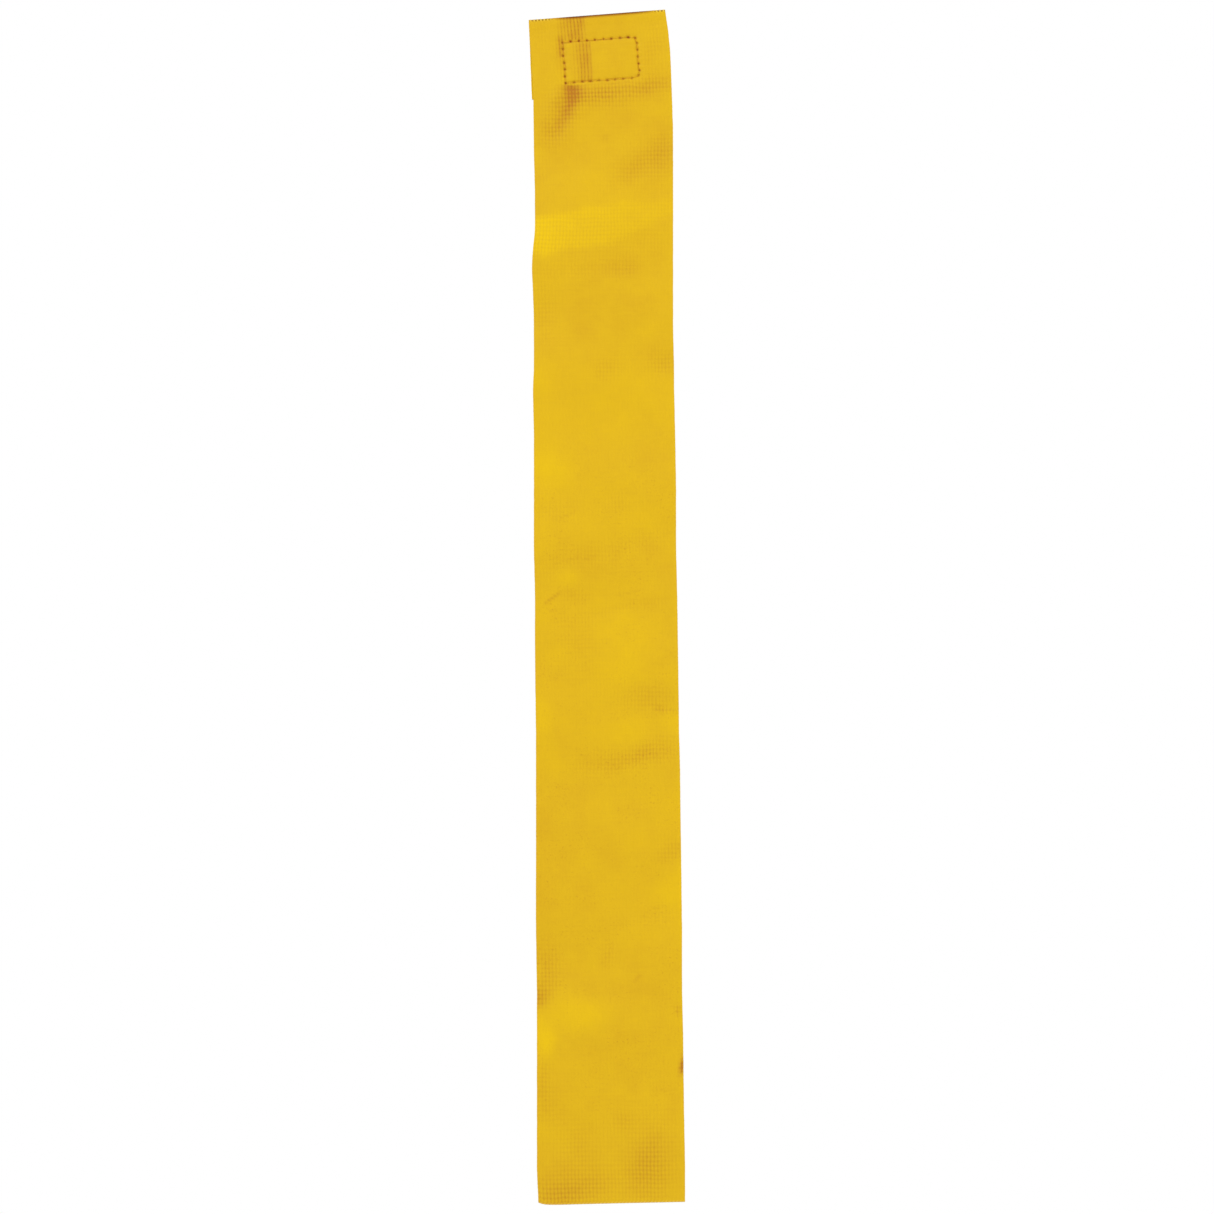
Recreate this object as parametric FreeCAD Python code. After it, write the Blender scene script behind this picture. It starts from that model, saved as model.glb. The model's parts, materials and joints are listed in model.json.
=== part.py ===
import FreeCAD, Part
import os
from math import sin, cos, radians, hypot, sqrt

# Pull-off marker strip: a strip of coated woven fabric with a turned-back
# heading and a patch of hook tape sewn on with a lockstitched box.
#
# Frame: X to the right seen from the front, Z up. The strip hangs towards -Z,
# its front looks along -Y and its hooks look along +Y. The origin is the
# centre of the hooks' mating face. Sizes are in millimetres.
#
# Outlines are in strip coordinates (x, s): x to the right of the strip's own
# centre line, s down from its nominal top.

# Strip
STRIP_LENGTH = 431.8
FABRIC_T = 0.45
FOLD_GAP = 0.06               # air between the two layers of the heading

# Hook tape and its field of hooks: length across the strip, width along it
TAPE_LENGTH = 31.8
TAPE_WIDTH = 19.05
TAPE_T = 0.80                 # woven backing
TAPE_CORNER_R = 0.6
HOOK_LENGTH = 25.4
HOOK_WIDTH = 14.0
HOOK_T = 1.30                 # from the backing to the hooks' crowns
HOOK_CORNER_R = 0.5
PATCH_LEAN = 4.5              # degrees, top leaning left seen from the front

# Stitched box
SEAM_LENGTH = 27.2
SEAM_WIDTH = 15.8
STITCHES_LONG = 9             # along each long side
STITCHES_SHORT = 6            # along each short side
CORNER_CUT = 0.55             # how far the two right-hand corner holes move in
HOLE_R = 0.45
GROOVE_W_FRONT = 0.46
GROOVE_W_BACK = 0.76
GROOVE_D = 0.15
BOX_X, BOX_S = -0.53, 16.75   # the box's centre on the strip

# Threads
THREAD_R = 0.11
LOOP_R = 0.25                 # half the distance between a loop's two legs
BEND_R = 0.20                 # centre-line bend at the mouth of a hole
LINK = 0.26                   # how far the two threads' loops reach past each other
THREAD_END_GAP = 0.30         # between a thread's two cut ends

# Heading outline, (x, s)
FOLD_LEFT = (-26.82, 1.21)    # crest of the folded top edge
FOLD_RIGHT = (23.08, -2.08)
HEAD_RIGHT = [(24.10, 5.49), (24.75, 13.24), (25.27, 32.52)]   # downwards
HEAD_LEFT = [(-25.10, 31.73), (-25.85, 17.0)]                  # upwards
FLAP_END = [(24.74, 29.71), (-25.83, 31.34)]                   # right, left

# Below the heading the strip is a row of sections meeting at flex lines
FIRST_FLEX = 40.0             # s of the first flex line
END_CLEARANCE = 0.05          # between a rounded end and the next section
# Left x and right x of the strip at each flex line, then at the free end
STRIP_EDGES = [
    (-25.12, 25.45), (-25.67, 25.02), (-25.60, 24.84),
    (-25.65, 25.06), (-25.48, 25.20), (-25.30, 25.43),
    (-25.50, 25.50), (-25.30, 25.46), (-25.16, 25.40),
]
SECTIONS = len(STRIP_EDGES) - 1

# Free end: it rises to the right and its left corner is nicked off
FREE_END_RISE = 0.35
FREE_END_RISE_START = 14.0    # from the left edge
NICK_WIDTH = 2.4
NICK_HEIGHT = 1.3

# Depths along Y
Y_HOOK = -HOOK_T                          # back of the tape, foot of the hooks
Y_TAPE = Y_HOOK - TAPE_T                  # front of the tape, back of the flap
Y_FLAP = Y_TAPE - FABRIC_T                # front of the flap
Y_FRONT = Y_FLAP - FOLD_GAP - FABRIC_T    # front of the strip

# How far cutting tools stand clear of the material
TOOL_CLEAR = 0.5
HEAD_HOLE_CLEAR_FRONT = 1.0
HEAD_HOLE_CLEAR_BACK = 0.2
FOLD_TOOL_REACH = 2.0         # more than the fold's outer radius

V = FreeCAD.Vector


def place(point, y=0.0):
    """Strip coordinates (x, s) to the frame."""
    return V(point[0] - BOX_X, y, BOX_S - point[1])


def at_depth(point, y):
    return V(point.x, y, point.z)


def unit(vector):
    return vector * (1.0 / vector.Length)


def extrude_polygon(points, vector):
    return Part.Face(Part.makePolygon(points + points[:1])).extrude(vector)


def fabric(outline, y_front):
    """A flat layer of fabric from an outline in strip coordinates."""
    return extrude_polygon([place(p, y_front) for p in outline], V(0, FABRIC_T, 0))


def rounded_end(edges, s):
    """A round bar across the strip, closing a layer at a flex line."""
    left, right = edges
    return Part.makeCylinder(FABRIC_T / 2.0, right - left,
                             place((left, s), Y_FRONT + FABRIC_T / 2.0), V(1, 0, 0))


def patch_block(length, width, y_front, depth, corner_r):
    """A leaning block centred on the patch, its corners rounded."""
    box = Part.makeBox(length, depth, width, V(-length / 2.0, 0, -width / 2.0))
    edges = [e for e in box.Edges
             if abs(e.Vertexes[0].Y - e.Vertexes[1].Y) > depth * 0.5]
    box = box.makeFillet(corner_r, edges)
    box.rotate(V(0, 0, 0), V(0, 1, 0), -PATCH_LEAN)
    box.translate(V(0, y_front, 0))
    return box


def seam_holes():
    """Hole centres at y = 0, clockwise from the top left seen from the front."""
    cosine, sine = cos(radians(PATCH_LEAN)), sin(radians(PATCH_LEAN))
    half_x, half_z = SEAM_LENGTH / 2.0, SEAM_WIDTH / 2.0
    corners = [(-half_x, half_z), (half_x, half_z), (half_x, -half_z), (-half_x, -half_z)]
    counts = [STITCHES_LONG, STITCHES_SHORT] * 2
    holes = []
    for side, count in enumerate(counts):
        x0, z0 = corners[side]
        x1, z1 = corners[(side + 1) % 4]
        for i in range(count):
            x = x0 + (x1 - x0) * i / count
            z = z0 + (z1 - z0) * i / count
            if i == 0 and x0 > 0:
                x -= CORNER_CUT
                z -= CORNER_CUT if z0 > 0 else -CORNER_CUT
            holes.append(V(x * cosine - z * sine, 0, x * sine + z * cosine))
    return holes


HOLES = seam_holes()


def hole_tools(y_start, y_end):
    return [Part.makeCylinder(HOLE_R, y_end - y_start, at_depth(hole, y_start), V(0, 1, 0))
            for hole in HOLES]


def groove_tools(y_start, width):
    """A shallow square channel under the surface run of every stitch."""
    tools = []
    for i, start in enumerate(HOLES):
        end = HOLES[(i + 1) % len(HOLES)]
        along = unit(end - start)
        side = V(-along.z, 0, along.x) * (width / 2.0)
        corners = [start + side, end + side, end - side, start - side]
        tools.append(extrude_polygon([at_depth(p, y_start) for p in corners],
                                     V(0, GROOVE_D + TOOL_CLEAR, 0)))
    return tools


def strip_heading():
    """Front layer, fold and turned-back flap in one piece."""
    outer_r = FABRIC_T + FOLD_GAP / 2.0
    inner_r = FOLD_GAP / 2.0
    dx = FOLD_RIGHT[0] - FOLD_LEFT[0]
    ds = FOLD_RIGHT[1] - FOLD_LEFT[1]
    length = hypot(dx, ds)
    along_x, along_s = dx / length, ds / length
    # the fold's axis lies its outer radius below the crest
    axis_left, axis_right = [(x - along_s * outer_r, s + along_x * outer_r)
                             for x, s in (FOLD_LEFT, FOLD_RIGHT)]

    edge_left, edge_right = STRIP_EDGES[0]
    front = fabric([axis_left, axis_right] + HEAD_RIGHT
                   + [(edge_right, FIRST_FLEX), (edge_left, FIRST_FLEX)] + HEAD_LEFT, Y_FRONT)
    flap = fabric([axis_left, axis_right] + FLAP_END, Y_FLAP)

    # the fold is the upper half of a tube along the top edge
    along = V(along_x, 0, -along_s)
    up = V(along_s, 0, along_x) * FOLD_TOOL_REACH
    across = V(0, FOLD_TOOL_REACH, 0)
    centre = place(axis_left, (Y_FRONT + Y_TAPE) / 2.0)
    outer = Part.makeCylinder(outer_r, length, centre, along)
    inner = Part.makeCylinder(inner_r, length, centre, along)
    upper_half = extrude_polygon([centre - across, centre + across,
                                  centre + across + up, centre - across + up],
                                 along * length)
    fold = outer.cut(inner).common(upper_half)

    end = rounded_end(STRIP_EDGES[0], FIRST_FLEX)
    body = front.fuse([fold, flap, end]).removeSplitter()
    body = body.cut(hole_tools(Y_FRONT - HEAD_HOLE_CLEAR_FRONT, Y_TAPE + HEAD_HOLE_CLEAR_BACK))
    return body.cut(groove_tools(Y_FRONT - TOOL_CLEAR, GROOVE_W_FRONT))


def strip_section(index):
    """One section between flex lines; the last one ends in the cut free end."""
    pitch = (STRIP_LENGTH - FIRST_FLEX) / SECTIONS
    top = FIRST_FLEX + pitch * index + FABRIC_T / 2.0 + END_CLEARANCE
    bottom = FIRST_FLEX + pitch * (index + 1)
    top_left, top_right = STRIP_EDGES[index]
    left, right = STRIP_EDGES[index + 1]
    upper = [(top_left, top), (top_right, top)]
    if index == SECTIONS - 1:
        return fabric(upper + [(right, bottom - FREE_END_RISE),
                               (left + FREE_END_RISE_START, bottom),
                               (left + NICK_WIDTH, bottom),
                               (left, bottom - NICK_HEIGHT)], Y_FRONT)
    body = fabric(upper + [(right, bottom), (left, bottom)], Y_FRONT)
    return body.fuse(rounded_end((left, right), bottom)).removeSplitter()


def hook_tape():
    body = patch_block(TAPE_LENGTH, TAPE_WIDTH, Y_TAPE, TAPE_T, TAPE_CORNER_R)
    body = body.cut(hole_tools(Y_TAPE - TOOL_CLEAR, Y_HOOK + TOOL_CLEAR))
    return body.cut(groove_tools(Y_HOOK - GROOVE_D, GROOVE_W_BACK))


def hook_field():
    return patch_block(HOOK_LENGTH, HOOK_WIDTH, Y_HOOK, HOOK_T, HOOK_CORNER_R)


def loop_legs(legs_along_seam):
    """The first and second leg of the loop in each hole, at y = 0."""
    legs = []
    for i, hole in enumerate(HOLES):
        following = HOLES[(i + 1) % len(HOLES)]
        tangent = unit(unit(hole - HOLES[i - 1]) + unit(following - hole))
        spread = tangent if legs_along_seam else V(-tangent.z, 0, tangent.x)
        legs.append((hole - spread * LOOP_R, hole + spread * LOOP_R))
    return legs


def thread(y_surface, inward, legs_along_seam):
    """One run of thread round the box, dropping a loop into every hole.

    inward is the sign of Y from the thread's surface into the stack. The loops
    of the two threads pass mid-depth from opposite sides, so they interlock.
    """
    y_crown = (Y_FRONT + Y_HOOK) / 2.0 + inward * LINK / 2.0
    y_loop = y_crown - inward * LOOP_R        # where the legs meet the loop's arc
    y_bend = y_surface + inward * BEND_R      # where the legs meet the bends
    legs = loop_legs(legs_along_seam)
    edges = []

    def line(start, end):
        edges.append(Part.LineSegment(start, end).toShape())

    def arc(start, middle, end):
        edges.append(Part.Arc(start, middle, end).toShape())

    def bend(leg, away):
        """Three points of a quarter bend, from the leg out to the surface."""
        part = BEND_R * (1.0 - 1.0 / sqrt(2.0))
        return (at_depth(leg, y_bend),
                at_depth(leg + away * part, y_surface + inward * part),
                at_depth(leg + away * BEND_R, y_surface))

    # the cut ends lie in the run between the last hole and the first
    last, first = legs[-1][1], legs[0][0]
    middle = at_depth((last + first) * 0.5, y_surface)
    half_gap = unit(first - last) * (THREAD_END_GAP / 2.0)

    surface_start = middle + half_gap
    for i, (leg_in, leg_out) in enumerate(legs):
        along = unit(leg_in - legs[i - 1][1])
        entry = bend(leg_in, -along)
        line(surface_start, entry[2])
        arc(*reversed(entry))
        # down the first leg, round the loop, up the second
        line(entry[0], at_depth(leg_in, y_loop))
        arc(at_depth(leg_in, y_loop), at_depth(HOLES[i], y_crown), at_depth(leg_out, y_loop))
        line(at_depth(leg_out, y_loop), at_depth(leg_out, y_bend))
        following = legs[(i + 1) % len(legs)][0]
        leaving = bend(leg_out, unit(following - leg_out))
        arc(*leaving)
        surface_start = leaving[2]
    line(surface_start, middle - half_gap)

    start_edge = edges[0]
    start = start_edge.FirstParameter
    profile = Part.Wire(Part.makeCircle(THREAD_R, start_edge.valueAt(start),
                                        start_edge.tangentAt(start)))
    body = Part.Wire(edges).makePipeShell([profile], True, False)
    # the sweep can come out inside-out
    if body.Volume < 0:
        body.reverse()
    return body


pieces = {
    "strip_heading": strip_heading(),
    "hook_tape": hook_tape(),
    "hook_field": hook_field(),
    "needle_thread": thread(Y_FRONT, inward=1.0, legs_along_seam=True),
    "bobbin_thread": thread(Y_HOOK, inward=-1.0, legs_along_seam=False),
}
for index in range(SECTIONS):
    pieces["strip_section_%d" % (index + 1)] = strip_section(index)

os.makedirs("parts", exist_ok=True)
for name, shape in pieces.items():
    shape.exportStep("parts/%s.step" % name)
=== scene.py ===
# A yellow coated-fabric strip, hanging. Its top edge is turned over to the back as a hem,
# and a woven hook tape is sewn to the hem with a box of lockstitch that leans a little.
# The front faces -Y, X runs to the right as seen from the front and the strip hangs
# towards -Z. The stitched box is centred on x = 0, z = 0. Sizes are in mm, and become
# metres where meshes are made.
import json
import math

import bmesh
import bpy
import numpy as np
from mathutils import Matrix, Vector


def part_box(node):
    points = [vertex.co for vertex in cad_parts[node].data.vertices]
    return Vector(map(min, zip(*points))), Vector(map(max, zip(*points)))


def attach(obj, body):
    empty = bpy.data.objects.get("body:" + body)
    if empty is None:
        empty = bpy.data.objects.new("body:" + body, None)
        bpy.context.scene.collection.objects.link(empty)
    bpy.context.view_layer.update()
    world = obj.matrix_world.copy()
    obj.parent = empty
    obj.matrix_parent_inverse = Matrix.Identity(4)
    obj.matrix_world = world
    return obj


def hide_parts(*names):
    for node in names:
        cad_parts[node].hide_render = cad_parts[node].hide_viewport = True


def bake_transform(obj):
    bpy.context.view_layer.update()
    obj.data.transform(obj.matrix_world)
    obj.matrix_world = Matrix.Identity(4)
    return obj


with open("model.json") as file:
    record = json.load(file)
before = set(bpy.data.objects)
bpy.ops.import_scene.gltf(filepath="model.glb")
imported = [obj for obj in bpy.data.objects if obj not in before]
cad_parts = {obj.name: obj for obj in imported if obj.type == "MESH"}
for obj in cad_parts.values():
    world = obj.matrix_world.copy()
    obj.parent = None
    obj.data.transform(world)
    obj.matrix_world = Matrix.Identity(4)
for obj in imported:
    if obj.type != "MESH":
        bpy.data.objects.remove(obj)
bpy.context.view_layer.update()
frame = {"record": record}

MM = 0.001
TWO_PI = 2 * math.pi


# ---------------------------------------------------------------------------
# sizes that come from the frame
# ---------------------------------------------------------------------------
def box_mm(name):
    """Low and high corners of a CAD piece."""
    return [[value / MM for value in corner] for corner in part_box(name)]


section_low, section_high = box_mm("strip_section_1")
last_low, _ = box_mm("strip_section_8")
tape_low, tape_high = box_mm("hook_tape")
hook_low, hook_high = box_mm("hook_field")

FRONT_Y = section_low[1]                  # the strip's front face
THICK = section_high[1] - section_low[1]  # fabric thickness
CLOTH_Y = FRONT_Y + THICK / 2.0           # middle of the front layer
TAPE_Y = tape_low[1]                      # where the tape lies on the hem
BACKING_Y = tape_high[1]                  # the tape's back face
CROWN_Y = hook_high[1]                    # tops of the hooks

JOINTS = {joint["name"]: joint for joint in frame["record"]["behaviour"]["joints"]}
JOINT_ORDER = ["flex_1", "flex_2", "twist_3", "flex_4", "twist_5", "flex_6", "twist_7", "flex_8"]
JOINT_Z = [JOINTS[name]["pos_m"][2] / MM for name in JOINT_ORDER]

# Strip coordinates: x across from the centre line, down from the nominal top.
STRIP_W = 50.8
STRIP_L = 431.8
BOX_DOWN = 16.75                          # centre of the stitched box
BOX_X = -JOINTS["twist_3"]["pos_m"][0] / MM
END_DOWN = BOX_DOWN - last_low[2]

# Patch coordinates: x and z from the box's centre, turned anticlockwise by the lean.
LEAN = math.radians(4.5)
COS_LEAN, SIN_LEAN = math.cos(LEAN), math.sin(LEAN)


def strip_to_frame(x, down):
    return x - BOX_X, BOX_DOWN - down


def patch_to_frame(x, z):
    return x * COS_LEAN - z * SIN_LEAN, x * SIN_LEAN + z * COS_LEAN


def patch_to_strip(x, z):
    frame_x, frame_z = patch_to_frame(x, z)
    return frame_x + BOX_X, BOX_DOWN - frame_z


def strip_to_patch(x, down):
    x, z = strip_to_frame(x, down)
    return x * COS_LEAN + z * SIN_LEAN, -x * SIN_LEAN + z * COS_LEAN


def leaning_sides(wide, tall):
    """Sides of the leaning rectangle whose upright box is wide by tall."""
    spread = COS_LEAN * COS_LEAN - SIN_LEAN * SIN_LEAN
    return (wide * COS_LEAN - tall * SIN_LEAN) / spread, (tall * COS_LEAN - wide * SIN_LEAN) / spread


# ---------------------------------------------------------------------------
# shaping functions
# ---------------------------------------------------------------------------
def ramp(value, zero, span):
    """Smooth step: 0 up to zero, 1 from zero + span. A negative span runs the other way."""
    t = np.clip((value - zero) / span, 0.0, 1.0)
    return t * t * (3 - 2 * t)


def bell(distance, width, power=2):
    """1 at distance 0, falling off; a higher even power has a flatter top."""
    return np.exp(-0.5 * (distance / width) ** power)


def blob(x, down, centre_x, centre_down, half_x, half_down, turn):
    """A soft oval, turned anticlockwise by turn degrees as seen from the front."""
    cos, sin = math.cos(math.radians(turn)), math.sin(math.radians(turn))
    right, up = x - centre_x, -(down - centre_down)
    along = (right * cos + up * sin) / half_x
    across = (-right * sin + up * cos) / half_down
    return np.exp(-0.5 * (along * along + across * across))


def noise(x, down, cell, seed):
    """Smooth seeded noise, -1 to 1."""
    values = np.random.RandomState(seed).uniform(-1, 1, (64, 512))
    cell_x, cell_down = x / cell + 20.0, down / cell + 40.0
    col, row = np.floor(cell_x).astype(int), np.floor(cell_down).astype(int)
    part_x, part_down = ramp(cell_x - col, 0, 1), ramp(cell_down - row, 0, 1)

    def blend_row(j):
        return values[col % 64, j % 512] * (1 - part_x) + values[(col + 1) % 64, j % 512] * part_x

    return blend_row(row) * (1 - part_down) + blend_row(row + 1) * part_down


def noises(x, down, *layers):
    """Sum of noise layers, each (strength, cell, seed)."""
    return sum(strength * noise(x, down, cell, seed) for strength, cell, seed in layers)


def segment_distance(x, down, start, end):
    """Distance to a line, and how far along it the nearest point lies, 0 to 1."""
    start, end = np.array(start, float), np.array(end, float)
    run = end - start
    t = np.clip(((x - start[0]) * run[0] + (down - start[1]) * run[1]) / (run @ run), 0, 1)
    return np.hypot(x - start[0] - t * run[0], down - start[1] - t * run[1]), t


def unit(vectors):
    return vectors / np.maximum(np.linalg.norm(vectors, axis=-1, keepdims=True), 1e-12)


# ---------------------------------------------------------------------------
# outline: (down, x) along each long edge
# ---------------------------------------------------------------------------
LEFT_POINTS = [
    (-6, -27.25), (1.2, -26.82), (9, -26.38), (17, -25.95), (24, -25.60), (31.7, -25.33),
    (43.8, -25.24), (51.5, -25.17), (66.8, -24.88), (78, -24.84), (84, -25.0), (89.5, -25.67),
    (97.1, -26.06), (104.6, -25.72), (112, -25.48), (119.7, -25.41), (134.6, -25.47),
    (142.1, -25.85), (157, -25.55), (179.2, -25.63), (201.2, -25.71), (215.8, -25.40),
    (237.6, -25.48), (266.5, -25.24), (280.9, -25.29), (309.4, -25.39), (337.7, -25.50),
    (358.7, -25.23), (372.7, -25.28), (400.4, -25.38), (421.1, -25.46), (428, -25.2), (432, -25.0)]
RIGHT_POINTS = [
    (-6, 22.55), (-2.1, 23.08), (5.5, 24.10), (13.2, 24.75), (22, 25.05), (32.5, 25.27),
    (43.8, 25.51), (51.5, 25.43), (66.8, 25.27), (82, 25.10), (89.5, 25.02), (97.1, 24.94),
    (104.6, 24.86), (119.7, 24.70), (134.6, 24.90), (142.1, 24.82), (157, 25.01), (179.2, 25.13),
    (201.2, 24.89), (215.8, 25.09), (237.6, 25.20), (266.5, 25.23), (280.9, 25.43),
    (309.4, 25.46), (337.7, 25.50), (358.7, 25.26), (372.7, 25.45), (400.4, 25.48),
    (421.1, 25.59), (430.7, 25.48)]


def smooth_edge(points, sigma):
    """The points resampled evenly and smoothed: stations down the strip and their x."""
    spacing = 0.25
    table = np.array(points, float)
    stations = np.arange(-8, 434 + spacing, spacing)
    values = np.interp(stations, table[:, 0], table[:, 1])
    reach = int(4 * sigma / spacing)
    kernel = np.exp(-0.5 * (np.arange(-reach, reach + 1) * spacing / sigma) ** 2)
    kernel /= kernel.sum()
    return stations, np.convolve(np.pad(values, reach, mode="edge"), kernel, mode="valid")


LEFT_EDGE = smooth_edge(LEFT_POINTS, sigma=1.3)
RIGHT_EDGE = smooth_edge(RIGHT_POINTS, sigma=1.0)

# ---------------------------------------------------------------------------
# the turned top edge and the hem: (x, down) of their ends
# ---------------------------------------------------------------------------
CREST_LEFT = np.array([-26.90, 1.05])
CREST_RIGHT = np.array([23.05, -2.60])
HEM_END_LEFT = np.array([-25.83, 31.68])
HEM_END_RIGHT = np.array([24.70, 29.71])
HEM_LENGTH = float(np.linalg.norm(HEM_END_LEFT - CREST_LEFT))

CREST_DIR = (CREST_RIGHT - CREST_LEFT) / np.linalg.norm(CREST_RIGHT - CREST_LEFT)
CREST_DOWN = np.array([-CREST_DIR[1], CREST_DIR[0]])
TURN_OUTER_R = (TAPE_Y - FRONT_Y) / 2.0
TURN_MID_R = TURN_OUTER_R - THICK / 2.0
TURN_Y = (TAPE_Y + FRONT_Y) / 2.0


def crest_distance(x, down):
    """Distance down from the crest of the turned top edge."""
    return (x - CREST_LEFT[0]) * CREST_DOWN[0] + (down - CREST_LEFT[1]) * CREST_DOWN[1]


# ---------------------------------------------------------------------------
# the stitched box
# ---------------------------------------------------------------------------
SEAM_W, SEAM_H = 27.2, 15.8
LONG_STITCHES, SHORT_STITCHES = 9, 6      # on each long and each short side
CORNER_INSET = 0.55                       # the two right-hand corners are sewn short


def seam_offset(x, z):
    """Distance from a patch point to the seam, negative inside the box."""
    over_x = np.abs(x) - SEAM_W / 2
    over_z = np.abs(z) - SEAM_H / 2
    outside = np.hypot(np.maximum(over_x, 0), np.maximum(over_z, 0))
    return outside + np.minimum(np.maximum(over_x, over_z), 0)


def seam_holes():
    """Needle holes in patch coordinates, clockwise from the top left corner."""
    half_w, half_h = SEAM_W / 2, SEAM_H / 2
    long_pitch = [SEAM_W * i / LONG_STITCHES for i in range(LONG_STITCHES)]
    short_pitch = [SEAM_H * i / SHORT_STITCHES for i in range(SHORT_STITCHES)]
    holes = [(-half_w + run, half_h) for run in long_pitch]
    holes += [(half_w, half_h - run) for run in short_pitch]
    holes += [(half_w - run, -half_h) for run in long_pitch]
    holes += [(-half_w, -half_h + run) for run in short_pitch]
    for corner, upward in ((LONG_STITCHES, 1), (LONG_STITCHES + SHORT_STITCHES, -1)):
        x, z = holes[corner]
        holes[corner] = (x - CORNER_INSET, z - CORNER_INSET * upward)
    return np.array(holes)


HOLES = seam_holes()
HOLE_COUNT = len(HOLES)
HOLES_ON_STRIP = np.array([patch_to_strip(x, z) for x, z in HOLES])

hole_rng = np.random.RandomState(19)
HOLE_SIZE = hole_rng.uniform(0.72, 1.22, HOLE_COUNT)
HOLE_SHADE = hole_rng.uniform(0.72, 1.05, HOLE_COUNT)
HOLE_SHIFT = hole_rng.uniform(-0.16, 0.16, (HOLE_COUNT, 2))
# the top run is pulled tighter than the bottom one, and its holes get more painted shade
BOTTOM_START = LONG_STITCHES + SHORT_STITCHES
HOLE_SHADE[:LONG_STITCHES] *= 1.20
HOLE_SHADE[BOTTOM_START:BOTTOM_START + LONG_STITCHES] *= 0.78


def pits(x, down, radius):
    """Depth of the needle holes, 0 to 1."""
    depth = np.zeros(np.shape(x))
    for (hole_x, hole_down), size in zip(HOLES_ON_STRIP, HOLE_SIZE):
        depth = np.maximum(depth, bell(np.hypot(x - hole_x, down - hole_down), radius * size))
    return depth


def hole_painted_shade(x, down):
    """Painted shade in and beside each needle hole, longer along the seam."""
    x, z = strip_to_patch(x, down)
    stain = np.zeros(np.shape(x))
    for i in range(HOLE_COUNT):
        hole = HOLES[i]
        stitch = HOLES[(i + 1) % HOLE_COUNT] - hole
        length = math.hypot(*stitch)
        dir_x, dir_z = stitch / length
        off_x, off_z = x - hole[0] - HOLE_SHIFT[i, 0], z - hole[1] - HOLE_SHIFT[i, 1]
        along = off_x * dir_x + off_z * dir_z
        across = -off_x * dir_z + off_z * dir_x
        spot = np.exp(-0.5 * ((along / (0.44 * HOLE_SIZE[i])) ** 2 + (across / 0.40) ** 2) ** 1.4)
        stain = np.maximum(stain, spot * HOLE_SHADE[i])
        # painted shadow on the shaded side of the thread, on some stitches
        line = bell(across + 0.26, 0.20) * ramp(along, 0.2, 0.5) * ramp(along, length - 0.2, -0.5)
        amount = max(0.0, HOLE_SHADE[(i * 7 + 3) % HOLE_COUNT] * 2 - 1.15)
        stain = np.maximum(stain, line * 0.45 * amount)
    return stain
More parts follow.
